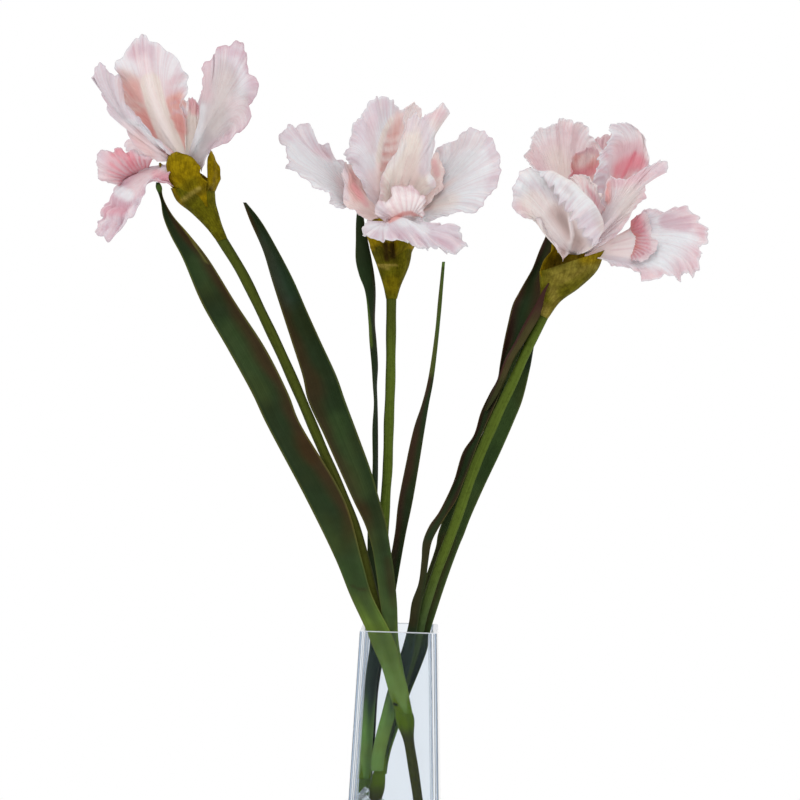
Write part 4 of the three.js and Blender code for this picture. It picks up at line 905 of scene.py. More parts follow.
def drawn(places):
    """Columns and rows of places in mm."""
    spread = 1 + places[..., 1] / EYE_DISTANCE
    x = EYE_X + (places[..., 0] - EYE_X) / spread
    z = EYE_Z + (places[..., 2] - EYE_Z) / spread - VASE_HEIGHT
    across = x * math.cos(LEAN) + z * math.sin(LEAN)
    down = x * math.sin(LEAN) - z * math.cos(LEAN)
    return across / STEP + AXIS_COLUMN, down / STEP + RIM_ROW


def smooth(points, t):
    """Places at t, from 0 to 1, on a smooth curve through the points."""
    points = np.asarray(points, float)
    last = len(points) - 1
    longer = np.vstack([2 * points[0] - points[1], points, 2 * points[-1] - points[-2]])
    place = np.clip(np.asarray(t, float), 0, 1) * last
    span = np.minimum(place.astype(int), last - 1)
    w = (place - span)[..., None]
    a, b, c, d = (longer[span + k] for k in range(4))
    before, along, after = (
        np.maximum(np.sum((q - p) ** 2, -1, keepdims=True) ** 0.25, 1e-4)
        for p, q in ((a, b), (b, c), (c, d))
    )
    start = ((b - a) / before - (c - a) / (before + along) + (c - b) / along) * along
    end = ((c - b) / along - (d - b) / (along + after) + (d - c) / after) * along
    return b + start * w + (3 * (c - b) - 2 * start - end) * w**2 + (2 * (b - c) + start + end) * w**3


def ease(x, low, high):
    """0 up to low, 1 from high on and smooth between them, also where high is the lower one."""
    x = np.clip((x - low) / (high - low), 0, 1)
    return x * x * (3 - 2 * x)


def unit(vectors):
    """The vectors at length 1."""
    return vectors / np.maximum(np.linalg.norm(vectors, axis=-1, keepdims=True), 1e-9)


def grid(rows, columns):
    """u and v over a sheet, from 0 to 1."""
    return np.meshgrid(np.linspace(0, 1, rows + 1), np.linspace(0, 1, columns + 1), indexing="ij")


def distance_to_line(columns, rows, line):
    """How far each place is from a line in the drawing, in steps of the drawing."""
    line = np.reshape(line, (-1, 2))
    if len(line) == 1:
        return np.hypot(columns - line[0, 0], rows - line[0, 1])
    nearest = np.full(columns.shape, 1e9)
    for (ax, ay), (bx, by) in zip(line[:-1], line[1:]):
        dx, dy = bx - ax, by - ay
        t = np.clip(((columns - ax) * dx + (rows - ay) * dy) / (dx * dx + dy * dy), 0, 1)
        nearest = np.minimum(nearest, np.hypot(columns - ax - t * dx, rows - ay - t * dy))
    return nearest


def ruffles(petal, v):
    """The wide and the fine waves round a petal's margin."""
    turns = 2 * math.pi * petal["waves"]
    return np.sin(turns * v + 0.8 * np.sin(9 * v)), np.sin(2.6 * turns * v + 1.3 * np.sin(7 * v + 1))


def petal_surface(petal, depth, heart, fullness, u, v):
    """Places in mm on a petal or bract: smooth ribs from its claw to its margin, with the ruffles."""

    def place(points):
        points = np.array(points, float)
        points[..., 2] = depth + points[..., 2] * fullness
        return seen(points)

    claw = place(petal["claw"])
    claw += (heart - claw) * petal["sink"]
    middle = place(rows_of(petal["middle"]))
    margin = place(rows_of(petal["margin"]))
    ends = smooth(margin, [0.2, 0.8])
    across = unit(ends[1] - ends[0])

    def rib(u, v):
        u = u[..., None]
        base = claw + across * ((v - 0.5) * petal["width"])[..., None]
        edge = smooth(margin, v)
        bend = 2 * smooth(middle, v) - 0.5 * base - 0.5 * edge
        return (1 - u) ** 2 * base + 2 * u * (1 - u) * bend + u * u * edge

    small = 0.01
    along_u = rib(np.minimum(u + small, 1), v) - rib(np.maximum(u - small, 0), v)
    along_v = rib(u, np.minimum(v + small, 1)) - rib(u, np.maximum(v - small, 0))
    normal = unit(np.cross(along_u, along_v))
    turns = 2 * math.pi * petal["waves"]
    ruffle = petal["ruffle"] * petal["calm"]
    wide, fine = ruffles(petal, v)
    height = ruffle * ease(u, 0.45, 1) * wide
    height += petal["frill"] * ruffle * ease(u, 0.7, 1) * fine
    height += 0.22 * ruffle * ease(u, 0.82, 1) * np.sin(5.1 * turns * v + 1.7 * np.sin(11 * v))
    height += petal["ridges"] * ease(u, 0.3, 0.7) * np.sin(260 * v + 3 * np.sin(5 * v))
    front = -np.sign(normal[..., 1].mean())
    flat = drawn(rib(u, v))
    for lift, half, *line in rows_of(petal["folds"]):
        height += front * lift * np.exp(-((distance_to_line(*flat, line) / half) ** 2))
    for lift, count, low in rows_of(petal["pleats"]):
        height += lift * ease(u, low, low + 0.25) * np.sin(2 * math.pi * count * v + 1.5 * np.sin(8 * v))
    jag = 0.012 * np.sin(2.3 * turns * v + 2 * np.sin(9 * v)) + 0.006 * np.sin(4.1 * turns * v + 1)
    reach = u * (1 + petal["jag"] * jag * ease(u, 0.8, 1))
    return rib(reach, v) + normal * height[..., None]


def leaf_surface(text, u, v):
    """Places in mm on a leaf, through its two edges and its middle line."""
    rows = rows_of(text)
    left = smooth(seen([(a, row, front) for row, a, _, front, _, _ in rows]), u)
    middle = smooth(seen([((a + b) / 2, row, mid) for row, a, b, _, mid, _ in rows]), u)
    right = smooth(seen([(b, row, back) for row, _, b, _, _, back in rows]), u)
    w = v[..., None]
    return (1 - w) * (1 - 2 * w) * left + 4 * w * (1 - w) * middle + w * (2 * w - 1) * right


def even_line(text, count):
    """Evenly spaced places in mm along the smooth curve through the rows."""
    fine = smooth(seen(rows_of(text)), np.linspace(0, 1, 2000))
    length = np.concatenate([[0], np.cumsum(np.linalg.norm(np.diff(fine, axis=0), axis=1))])
    wanted = np.linspace(0, length[-1], count)
    return np.stack([np.interp(wanted, length, fine[:, k]) for k in range(3)], -1)


def frames_along(centres):
    """Two directions across a line at each of its points, without twist."""
    tangents = unit(np.gradient(centres, axis=0))
    side = unit(np.cross(tangents[0], [0, 1, 0]))
    sides = []
    for tangent in tangents:
        side = unit(side - tangent * np.dot(side, tangent))
        sides.append(side)
    sides = np.array(sides)
    return sides, np.cross(tangents, sides)


# Meshes. A piece is gathered from shells: places in mm, faces, and what each vertex knows of itself.


def grid_faces(rows, columns, closed=False):
    """Quads of a sheet, or of a tube where the columns close."""
    i, j = np.meshgrid(np.arange(rows), np.arange(columns), indexing="ij")
    width = columns if closed else columns + 1
    after = (j + 1) % columns if closed else j + 1
    a, b = i * width + j, i * width + after
    return np.stack([a, a + width, b + width, b], -1).reshape(-1, 4).tolist()


def tube_faces(rings, sides, turned=False):
    """Quads of a tube with its two end caps, turned over if asked."""
    faces = grid_faces(rings - 1, sides, closed=True)
    faces.append(list(range(sides)))
    faces.append(list(range((rings - 1) * sides, rings * sides))[::-1])
    return [face[::-1] for face in faces] if turned else faces


class Shells:
    """Gathers the vertices, faces and vertex values of one piece."""

    def __init__(self):
        self.places, self.faces, self.values, self.count = [], [], {}, 0

    def add(self, places, faces, **values):
        """Adds a shell with its values, each a number or one for every place."""
        places = np.asarray(places, float)
        flat = places.reshape(-1, 3)
        self.faces += [[k + self.count for k in face] for face in faces]
        self.places.append(flat)
        for name, value in values.items():
            shape = places.shape if name == "tint" else places.shape[:-1]
            value = np.broadcast_to(value, shape).reshape(len(flat), -1)
            self.values.setdefault(name, []).append(value)
        self.count += len(flat)

    def add_sheet(self, places, **values):
        """Adds a sheet of rows and columns."""
        rows, columns = places.shape[:2]
        self.add(places, grid_faces(rows - 1, columns - 1), **values)

    def piece(self, name, material, slot, nodes):
        """The finished object, riding on the root body in place of its CAD nodes."""
        mesh = bpy.data.meshes.new(name)
        mesh.from_pydata((np.vstack(self.places) * MM).tolist(), [], self.faces)
        for key, parts in self.values.items():
            value = np.vstack(parts)
            if key == "tint":
                layer = mesh.attributes.new(key, "FLOAT_COLOR", "POINT")
                value = np.hstack([value, np.ones((len(value), 1))])
                layer.data.foreach_set("color", value.astype(np.float32).ravel())
            else:
                layer = mesh.attributes.new(key, "FLOAT", "POINT")
                layer.data.foreach_set("value", value.astype(np.float32).ravel())
        mesh.polygons.foreach_set("use_smooth", [True] * len(mesh.polygons))
        mesh.materials.append(material)
        mesh.update()
        piece = bpy.data.objects.new(name, mesh)
        bpy.context.scene.collection.objects.link(piece)
        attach(piece, "root")
        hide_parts(*nodes)
        return piece


def thicken(piece, thickness, thin):
    """Gives a sheet its thickness, down to the share named thin at its edges."""
    group = piece.vertex_groups.new(name="thickness")
    layer = piece.data.attributes["full"]
    weights = np.zeros(len(piece.data.vertices), np.float32)
    layer.data.foreach_get("value", weights)
    for level in range(11):
        chosen = np.nonzero(np.round(weights * 10) == level)[0]
        if len(chosen):
            group.add(chosen.tolist(), level / 10, "REPLACE")
    solid = piece.modifiers.new("thickness", "SOLIDIFY")
    solid.thickness = thickness
    solid.offset = 0
    solid.vertex_group = group.name
    solid.thickness_vertex_group = thin


# Paint: each vertex gets its colour from the shades, by its place on the sheet and in the drawing.


def shade(name):
    """Linear red, green and blue of a named shade."""
    code = SHADES[name]
    parts = [int(code[i : i + 2], 16) / 255 for i in (0, 2, 4)]
    return np.array([c / 12.92 if c <= 0.04045 else ((c + 0.055) / 1.055) ** 2.4 for c in parts])


def coated(name, places):
    """One named shade for every place."""
    return np.broadcast_to(shade(name), places.shape).copy()


def blend(colours, name, amount):
    """The colours mixed with a named shade by an amount for each vertex."""
    amount = np.asarray(amount, float)[..., None]
    return colours * (1 - amount) + shade(name) * amount


def blend_rows(colours, rows, text):
    """The colours passing into other shades down the rows."""
    for low, high, name in rows_of(text):
        colours = blend(colours, name, ease(rows, low, high))
    return colours


def brush(colours, places, strokes):
    """Adds strokes: shade, strength, half width, softness, and a line of columns and rows."""
    columns, rows = drawn(places)
    for name, strength, half, soft, *line in rows_of(strokes):
        away = distance_to_line(columns, rows, line)
        amount = strength * (1 - ease(away, (1 - soft) * half, (1 + soft) * half))
        colours = blend(colours, name, amount)
    return colours


def petal_paint(petal, places, u, v):
    """Throat, body and margin of a petal, with its strokes, a painted highlight on the crests of its
    ruffles and painted shade in their troughs.
    """
    body, margin, throat, rim = petal["shades"].split()
    wander = 0.06 * np.sin(23 * v + 1) + 0.04 * np.sin(41 * v)
    colours = blend(coated(body, places), margin, 0.75 * ease(u + wander, 0.7, 1))
    colours = blend(colours, throat, 1 - ease(u + wander, 0.12, 0.5))
    for name, strength, count, low, high in rows_of(petal["stripes"]):
        line = 0.5 + 0.5 * np.sin(2 * math.pi * count * v + 1.5 * np.sin(8 * v) + 0.9)
        reach = ease(u, low, low + 0.2) * (1 - ease(u, high - 0.2, high))
        colours = blend(colours, name, strength * line**2 * reach)
    colours = brush(colours, places, petal["strokes"])
    wide, fine = ruffles(petal, v)
    # Painted light and shade: near the margin the ruffle crests are painted lighter and their troughs
    # darker.
    swell = (0.4 * wide + 0.6 * fine) * ease(u, 0.66, 0.94)
    colours = blend(colours, petal["ruffle_painted_shade"], 0.34 * np.maximum(-swell, 0) ** 1.2)
    colours = blend(colours, "bright", 0.4 * np.maximum(swell, 0) ** 1.2)
    return blend(colours, rim, 0.7 * ease(u, 0.965, 0.985))


# Materials.


def new_material(name, **values):
    """A material, with the values that are the same all over it set on its shader."""
    material = bpy.data.materials.new(name)
    material.use_nodes = True
    tree = material.node_tree
    shader = tree.nodes["Principled BSDF"]
    for key, value in values.items():
        shader.inputs[key.replace("_", " ")].default_value = value
    return material, tree, shader


def add_node(tree, kind, inputs, **settings):
    """A node with its settings, its values and its links."""
    node = tree.nodes.new(kind)
    for key, value in settings.items():
        setattr(node, key, value)
    for key, value in inputs.items():
        if isinstance(value, bpy.types.NodeSocket):
            tree.links.new(value, node.inputs[key])
        else:
            node.inputs[key].default_value = value
    return node


def calculate(tree, operation, *values):
    """The result of a sum with one or two values."""
    return add_node(tree, "ShaderNodeMath", dict(enumerate(values)), operation=operation).outputs[0]


def value_of(tree, name):
    """A value that each vertex holds."""
    return add_node(tree, "ShaderNodeAttribute", {}, attribute_name=name).outputs["Fac"]


def tint(tree):
    """The painted colour of the vertices."""
    return add_node(tree, "ShaderNodeAttribute", {}, attribute_name="tint").outputs["Color"]


def own_place(tree, name):
    """A coordinate in the object's own space."""
    return add_node(tree, "ShaderNodeTexCoord", {}).outputs[name]


def streaks(tree, across, along, detail):
    """Noise drawn out along a sheet, so many to its width and to its length."""
    sides = [value_of(tree, name) for name in ("across", "along", "number")]
    flat = add_node(tree, "ShaderNodeCombineXYZ", dict(zip("XYZ", sides))).outputs[0]
    values = {"Vector": flat, "Scale": (across, along, NUMBER_GAP)}
    scaled = add_node(tree, "ShaderNodeMapping", values).outputs[0]
    values = {"Vector": scaled, "Scale": 1.0, "Detail": detail}
    return add_node(tree, "ShaderNodeTexNoise", values).outputs["Fac"]


def speckle(tree, scale, detail=3.0, roughness=0.5):
    """Noise in the object's own space, scale to the metre."""
    place = own_place(tree, "Object")
    values = {"Vector": place, "Scale": scale, "Detail": detail, "Roughness": roughness}
    return add_node(tree, "ShaderNodeTexNoise", values).outputs["Fac"]


def ramp(tree, factor, *stops):
    """A grey or coloured ramp through (place, value) stops."""
    node = add_node(tree, "ShaderNodeValToRGB", {"Fac": factor})
    elements = node.color_ramp.elements
    while len(elements) < len(stops):
        elements.new(0.5)
    for element, (place, value) in zip(elements, stops):
        element.position = place
        element.color = (*np.broadcast_to(value, 3), 1)
    return node.outputs["Color"]


def mixed(tree, amount, below, above, blend_type="MIX"):
    """Two colours mixed by an amount."""
    inputs = {0: amount, 6: below, 7: above}
    return add_node(tree, "ShaderNodeMix", inputs, data_type="RGBA", blend_type=blend_type).outputs[2]


def washed(tree, amount, colour, factor, *stops):
    """A colour multiplied by a ramp, by an amount."""
    return mixed(tree, amount, colour, ramp(tree, factor, *stops), "MULTIPLY")


def dress(tree, shader, colour, roughness, *layers):
    """Links a colour and a roughness, and raises the surface by (height, strength, mm) layers."""
    tree.links.new(colour, shader.inputs["Base Color"])
    tree.links.new(roughness, shader.inputs["Roughness"])
    normal = {}
    for height, strength, distance in layers:
        values = {"Height": height, "Strength": strength, "Distance": distance * MM, **normal}
        normal = {"Normal": add_node(tree, "ShaderNodeBump", values).outputs[0]}
    if normal:
        tree.links.new(normal["Normal"], shader.inputs["Normal"])


def petal_material():
    """Soft matt petals: the painted colour, fan veins out towards the margin and a faint mottle."""
    material, tree, shader = new_material(
        "petal",
        Subsurface_Weight=0.25,
        Subsurface_Scale=0.002,
        Subsurface_Radius=(1.0, 0.8, 0.75),
        Sheen_Weight=0.05,
        Sheen_Roughness=0.5,
        Specular_IOR_Level=0.15,
    )
    outwards = ramp(tree, value_of(tree, "along"), (0.15, 0.15), (0.6, 1.0))
    veins = streaks(tree, 120, 1.6, 3)
    broad = streaks(tree, 40, 2.0, 2)
    mottle = speckle(tree, 160)
    crumple = calculate(tree, "MULTIPLY", streaks(tree, 24, 9, 3), outwards)
    colour = washed(tree, outwards, tint(tree), veins, (0.36, (0.95, 0.88, 0.89)), (0.56, 1.0))
    colour = washed(tree, 0.3, colour, broad, (0.3, (0.96, 0.93, 0.935)), (0.6, 1.0))
    colour = washed(tree, 0.5, colour, mottle, (0.3, (0.95, 0.92, 0.93)), (0.7, 1.0))
    dress(
        tree,
        shader,
        colour,
        ramp(tree, mottle, (0.3, 0.58), (0.7, 0.72)),
        (crumple, 0.6, 2.4),
        (veins, 0.3, 0.4),
        (speckle(tree, 260, 4), 0.4, 0.9),
        (speckle(tree, 900), 0.12, 0.2),
    )
    return material


def leaf_material():
    """Waxy sword leaves: the painted colour with fine veins along the blade."""
    material, tree, shader = new_material("leaf", Specular_IOR_Level=0.03)
    veins = streaks(tree, 60, 3.5, 3)
    clouds = speckle(tree, 24, 2)
    mottle = speckle(tree, 130, 5)
    cloud_stops = (0.38, (0.88, 1.0, 0.9)), (0.5, 0.94), (0.62, (1.0, 0.88, 0.78))
    colour = washed(tree, 0.6, tint(tree), veins, (0.35, 0.7), (0.6, 1.0))
    colour = washed(tree, 0.9, colour, clouds, *cloud_stops)
    colour = washed(tree, 0.6, colour, mottle, (0.35, (0.78, 0.8, 0.72)), (0.65, 1.0))
    roughness = ramp(tree, mottle, (0.3, 0.42), (0.7, 0.6))
    dress(tree, shader, colour, roughness, (veins, 0.6, 0.35), (speckle(tree, 700), 0.12, 0.15))
    return material


def stem_material():
    """Olive stems with faint ribs along them and a few darker flecks."""
    material, tree, shader = new_material("stem", Specular_IOR_Level=0.03)
    ribs = streaks(tree, 14, 9, 3)
    flecks = speckle(tree, 320, 6, 0.65)
    colour = washed(tree, 0.7, tint(tree), ribs, (0.32, (0.62, 0.62, 0.55)), (0.62, 1.0))
    colour = washed(tree, 0.4, colour, flecks, (0.36, (0.5, 0.48, 0.4)), (0.5, 1.0))
    roughness = ramp(tree, flecks, (0.3, 0.6), (0.7, 0.45))
    dress(tree, shader, colour, roughness, (ribs, 0.5, 0.4), (flecks, 0.15, 0.2))
    return material


def spathe_material():
    """Papery spathes: mottled olive with fine lengthwise veins and a dark net."""
    material, tree, shader = new_material("spathe", Specular_IOR_Level=0.02)
    veins = streaks(tree, 34, 5, 4)
    blotches = speckle(tree, 150, 5, 0.6)
    values = {"Vector": own_place(tree, "Object"), "Scale": 300.0}
    cells = add_node(tree, "ShaderNodeTexVoronoi", values, feature="DISTANCE_TO_EDGE")
    net = cells.outputs["Distance"]
    colour = washed(tree, 0.7, tint(tree), veins, (0.34, (0.6, 0.56, 0.45)), (0.6, 1.0))
    colour = washed(tree, 0.8, colour, blotches, (0.38, (0.5, 0.48, 0.36)), (0.6, 1.0))
    colour = washed(tree, 0.35, colour, net, (0.0, (0.5, 0.48, 0.35)), (0.12, 1.0))
    roughness = ramp(tree, blotches, (0.3, 0.7), (0.7, 0.5))
    dress(tree, shader, colour, roughness, (veins, 0.6, 0.5), (blotches, 0.3, 0.4))
    return material


def glass_material(colour):
    """Clear glass with the faintest haze. Round a corner it is a darker blue and less clear, its own tint
    deepened as painted shade and reflection; on faces turned up, such as the rim, it is painted whiter and
    less clear as a painted highlight.
    """
    material, tree, shader = new_material(
        "vase_glass", IOR=1.45, Specular_Tint=(0.22, 0.24, 0.28, 1.0)
    )
    sides = add_node(tree, "ShaderNodeSeparateXYZ", {0: own_place(tree, "Normal")}).outputs
    flat = calculate(tree, "MAXIMUM", *(calculate(tree, "ABSOLUTE", side) for side in sides[:2]))
    haze = speckle(tree, 40, 3)
    # Painted shade and reflection: round the corners the glass is a darker blue, partly its own tint.
    corners = ramp(tree, flat, (0.8, (0.34, 0.44, 0.58)), (0.985, tuple(colour)))
    # Painted highlight: faces turned up, such as the rim, are painted whiter.
    rim = ramp(tree, sides[2], (0.3, 0.0), (0.8, 1.0))
    body = mixed(tree, rim, corners, (0.85, 0.88, 0.93, 1.0))
    body = washed(tree, 0.5, body, haze, (0.4, 0.98), (0.6, 1.0))
    dress(tree, shader, body, ramp(tree, haze, (0.4, 0.0), (0.7, 0.01)))
    # Less clear where the painted corners and rim lie, so that their painted colour shows.
    clear = ramp(tree, flat, (0.8, 0.4), (0.985, 1.0))
    clear = washed(tree, 1.0, clear, sides[2], (0.3, 1.0), (0.8, 0.35))
    tree.links.new(clear, shader.inputs["Transmission Weight"])
    return material


def crystal_material(colour):
    """Clear, faintly cloudy chunks."""
    material, tree, shader = new_material("crystal", Transmission_Weight=0.9, IOR=1.45)
    cloud = speckle(tree, 60, 4)
    pale = ramp(tree, cloud, (0.35, tuple(colour)), (0.65, 1.0))
    roughness = ramp(tree, cloud, (0.3, 0.02), (0.75, 0.16))
    dress(tree, shader, pale, roughness, (speckle(tree, 240, 2), 0.1, 0.3))
    return material


# Pieces.


def outer_half(z):
    """Half the vase's width at a height, in mm."""
    return MOUTH_HALF + TAPER * (VASE_HEIGHT - z)


def square_ring(half, corner, z, steps=8):
    """A square with rounded corners at a height, in mm."""
    turns = VASE_TURN + (np.arange(4)[:, None] + np.linspace(0, 1, steps + 1)) * math.pi / 2
    middles = VASE_TURN + (np.arange(4)[:, None] + 0.5) * math.pi / 2
    reach = (half - corner) * math.sqrt(2)
    x = reach * np.cos(middles) + corner * np.cos(turns)
    y = reach * np.sin(middles) + corner * np.sin(turns)
    return np.stack([x.ravel(), y.ravel(), np.full(x.size, z)], -1)


def vase_shell(edge, corner):
    """Rings up the vase's outside, over its rounded rim and down its inside."""
    quarter = np.linspace(0, math.pi / 2, 4)
    rings = []

    def ring(z, inset):
        rings.append(square_ring(outer_half(z) - inset, corner, z))

    for turn in quarter:
        ring(edge * (1 - math.cos(turn)), edge * (1 - math.sin(turn)))
    for share in (0.25, 0.5, 0.75):
        ring(VASE_HEIGHT * share, 0)
    half = WALL / 2
    for turn in np.linspace(0, math.pi, 9):
        side = np.sign(round(math.cos(turn), 3))
        ring(VASE_HEIGHT - edge * (1 - math.sin(turn)), half - (half - edge) * side - edge * math.cos(turn))
    for share in (0.75, 0.5, 0.25):
        ring(FLOOR + (VASE_HEIGHT - FLOOR) * share, WALL)
    for turn in quarter:
        ring(FLOOR + 2 * edge * (1 - math.sin(turn)), WALL + 2 * edge * (1 - math.cos(turn)))
    return np.array(rings)


class IRISES_OT_vase(bpy.types.Operator):
    """Builds the square glass vase with its thick floor and rounded rim"""

    bl_idname = "irises.vase"
    bl_label = "Glass Vase"

    def execute(self, context):
        sizes = context.scene.iris_vase
        rings = vase_shell(sizes.edge / MM, sizes.corner / MM)
        shells = Shells()
        shells.add(rings, tube_faces(*rings.shape[:2], turned=True))
        vase = shells.piece("vase", glass_material(sizes.glass), "vase_glass", ["glass_vase"])
        vase.modifiers.new("flat_sides", "WEIGHTED_NORMAL").weight = 100
        return {"FINISHED"}


def crystal_places(size, seed):
    """Drops round stand-ins into the vase one by one, each to the lowest place that is free."""
    random = np.random.default_rng(seed)
    stems = np.vstack([even_line(stem["path"], 160) for stem in STEMS.values()])
    placed = np.zeros((0, 4))
    for _ in range(DROPS):
        radius = size / 2 * random.uniform(0.8, 1.15)
        room = outer_half(DROP_HEIGHT) - WALL - radius - GLASS_GAP
        tries = random.uniform(-room, room, (TRIES, 2))
        heights = np.full(TRIES, FLOOR + radius + 0.2)
        for _ in range(2):
            if len(placed):
                gap = np.hypot(*(tries[:, None, :] - placed[None, :, :2]).transpose(2, 0, 1))
                reach = (radius + placed[:, 3])[None, :]
                lift = np.sqrt(np.maximum(reach**2 - gap**2, 0))
                heights = np.maximum(heights, np.where(gap < reach, placed[:, 2] + lift, 0).max(1))
        spots = np.column_stack([tries, heights])
        free = np.linalg.norm(spots[:, None] - stems[None], axis=2).min(1) > radius + STEM_ROOM
        free &= np.abs(tries).max(1) < outer_half(heights) - WALL - radius - GLASS_GAP
        free &= heights + radius * 0.6 < np.interp(tries[:, 0], HEAP_ENDS, HEAP_HEIGHTS)
        if free.any():
            best = np.where(free, heights, 1e9).argmin()
            placed = np.vstack([placed, [*spots[best], radius]])
    return placed, random


def chunk(centre, radius, random):
    """An irregular faceted chunk: the hull of points near a sphere."""
    points = unit(random.normal(size=(CHUNK_POINTS, 3))) * radius
    points *= random.uniform(0.9, 1.12, (CHUNK_POINTS, 1))
    points *= random.uniform(0.9, 1.1, 3)
    mesh = bmesh.new()
    for point in points:
        mesh.verts.new(point)
    hull = bmesh.ops.convex_hull(mesh, input=mesh.verts)
    bmesh.ops.delete(mesh, geom=[v for v in hull["geom_interior"] if v.is_valid], context="VERTS")
    bmesh.ops.bevel(mesh, geom=mesh.edges[:], offset=radius * 0.05, segments=1, affect="EDGES")
    mesh.verts.index_update()
    places = np.array([v.co for v in mesh.verts]) + centre
    faces = [[v.index for v in face.verts] for face in mesh.faces]
    mesh.free()
    return places, faces


class IRISES_OT_crystals(bpy.types.Operator):
    """Heaps clear chunks round the stems in the vase"""

    bl_idname = "irises.crystals"
    bl_label = "Crystals"

    def execute(self, context):
        sizes = context.scene.iris_vase
        placed, random = crystal_places(sizes.crystal / MM, sizes.seed)
        if not len(placed):
            raise RuntimeError("no crystal fits in the vase")
        shells = Shells()
        for *centre, radius in placed:
            shells.add(*chunk(centre, radius, random))
        material = crystal_material(sizes.crystal_colour)
        piece = shells.piece("crystals", material, "crystals", ["crystal_filler"])
        piece.data.polygons.foreach_set("use_smooth", [False] * len(piece.data.polygons))
        return {"FINISHED"}


class IRISES_OT_stems(bpy.types.Operator):
    """Builds the three round stems with their swollen joints"""

    bl_idname = "irises.stems"
    bl_label = "Stems"

    def execute(self, context):
        radius = context.scene.iris_plants.stem / MM / 2
        material = stem_material()
        rings, sides = STEM_GRID
        along = np.linspace(0, 1, rings + 1)[:, None]
        turn = 2 * math.pi * np.arange(sides) / sides
        for number, (name, stem) in enumerate(STEMS.items()):
            centres = even_line(stem["path"], rings + 1)
            side, deep = frames_along(centres)
            joint = seen([JOINT_COLUMN, stem["joint"], 0])[2]
            radii = radius + stem["swell"] * np.exp(-(((centres[:, 2:] - joint) / JOINT_REACH) ** 2))
            radii += 0.12 * np.sin(90 * along + number) + 0.08 * np.sin(37 * along)
            out = side[:, None] * np.cos(turn)[:, None] + deep[:, None] * np.sin(turn)[:, None]
            places = centres[:, None] + out * (radii * (1 + 0.015 * np.cos(6 * turn)))[..., None]
            colours = blend_rows(coated("olive", places), drawn(places)[1], stem["shades"])
            # Painted light and shade: the colour is darker round the side of the stem turned away from the
            # light.
            colours *= (0.72 + 0.28 * np.sin(turn + stem["lit"]))[None, :, None]
            around = np.abs(turn / math.pi - 1)
            faces = tube_faces(rings + 1, sides)
            shells = Shells()
            shells.add(places, faces, tint=colours, across=around, along=along, number=number)
            shells.piece(f"stem_{name}_skin", material, "stems", [f"stem_{name}"])
        return {"FINISHED"}


def leaf_paint(plan, number, places, v):
    """Shades down a blade, its flush, its pale edge and its strokes."""
    row = drawn(places)[1]
    colours = blend_rows(coated("leaf_dark", places), row + 9 * np.sin(8 * v), plan["shades"])
    wander = v + 0.1 * np.sin(row / 17 + number) + 0.05 * np.sin(row / 7)
    fade = 1 - ease(row, plan["flush_end"] - 60, plan["flush_end"])
    for left, right, name, strength in rows_of(plan["sides"]):
        colours = blend(colours, name, strength * ease(wander, left, right) * fade)
    rim = 1 - ease(np.minimum(v, 1 - v), 0.0, 0.05)
    colours = blend(colours, "leaf_edge", plan["edge"] * rim)
    return brush(colours, places, plan["strokes"])


class IRISES_OT_leaves(bpy.types.Operator):
    """Builds the six sword leaves with their veins, flush and pale edges"""

    bl_idname = "irises.leaves"
    bl_label = "Leaves"

    def execute(self, context):
        material = leaf_material()
        for number, (name, rows) in enumerate(LEAVES.items()):
            u, v = grid(*LEAF_GRID)
            places = leaf_surface(rows, u, v)
            wave = 0.35 * np.sin(34 * u + number) * np.sin(math.pi * v) * ease(u, 0, 0.1)
            places[..., 1] += wave * (1 - ease(u, 0.7, 0.95))
            colours = leaf_paint(LEAF_PAINT[name], number, places, v)
            full = ease(np.minimum(v, 1 - v), 0, 0.2) * ease(u, 0, 0.04)
            shells = Shells()
            shells.add_sheet(places, tint=colours, across=v, along=u, number=number, full=full)
            if name in LEAF_EDGES:
                u, v = grid(*LEAF_EDGE_GRID)
                places = leaf_surface(LEAF_EDGES[name], u, v)
                under = 0.8 * ease(v, 0.1, 0.4) * ease(u, 0.15, 0.5)
                colours = blend(coated("leaf_maroon", places), "leaf_under", under)
                colours = blend(colours, "leaf_dark", 0.6 * ease(u, 0.7, 1))
                values = {"across": v / 3, "along": u / 5, "number": number, "full": 0.8}
                shells.add_sheet(places, tint=colours, **values)
            piece = shells.piece(f"leaf_{name}_blade", material, "leaves", [f"leaf_{name}"])
            thicken(piece, context.scene.iris_plants.leaf, thin=0.35)
        return {"FINISHED"}


def cup_shell(plan, thickness):
    """Rings up the outside of a spathe's funnel and a little way down its inside, with their shares."""
    steps, sides = CUP_GRID
    share = np.linspace(0, 1, steps + 1)
    sections = rows_of(plan["cup"])
    left = smooth(seen([(a, row, plan["depth"]) for a, row, _, _, _ in sections]), share)
    right = smooth(seen([(b, row, plan["depth"]) for _, _, b, row, _ in sections]), share)
    deep = smooth([(depth, 0, 0) for *_, depth in sections], share)[:, 0]
    turn = 2 * math.pi * np.arange(sides) / sides
    across = ((right - left) / 2)[:, None] * np.cos(turn)[:, None]
    out = across + np.array([0, 1, 0]) * np.sin(turn)[:, None] * deep[:, None, None]
    centres = ((left + right) / 2)[:, None]
    wrinkle = 1 + 0.012 * np.sin(9 * turn + 2) + 0.008 * np.sin(23 * turn)
    thinner = 1 - thickness / np.linalg.norm(out, axis=-1, keepdims=True)
    inside = (centres + out * thinner)[::-1][:CUP_INSIDE]
    rings = np.concatenate([centres + out * wrinkle[:, None], inside])
    along = np.concatenate([share, share[::-1][:CUP_INSIDE]])[:, None]
    return rings, along, np.abs(turn / math.pi - 1)


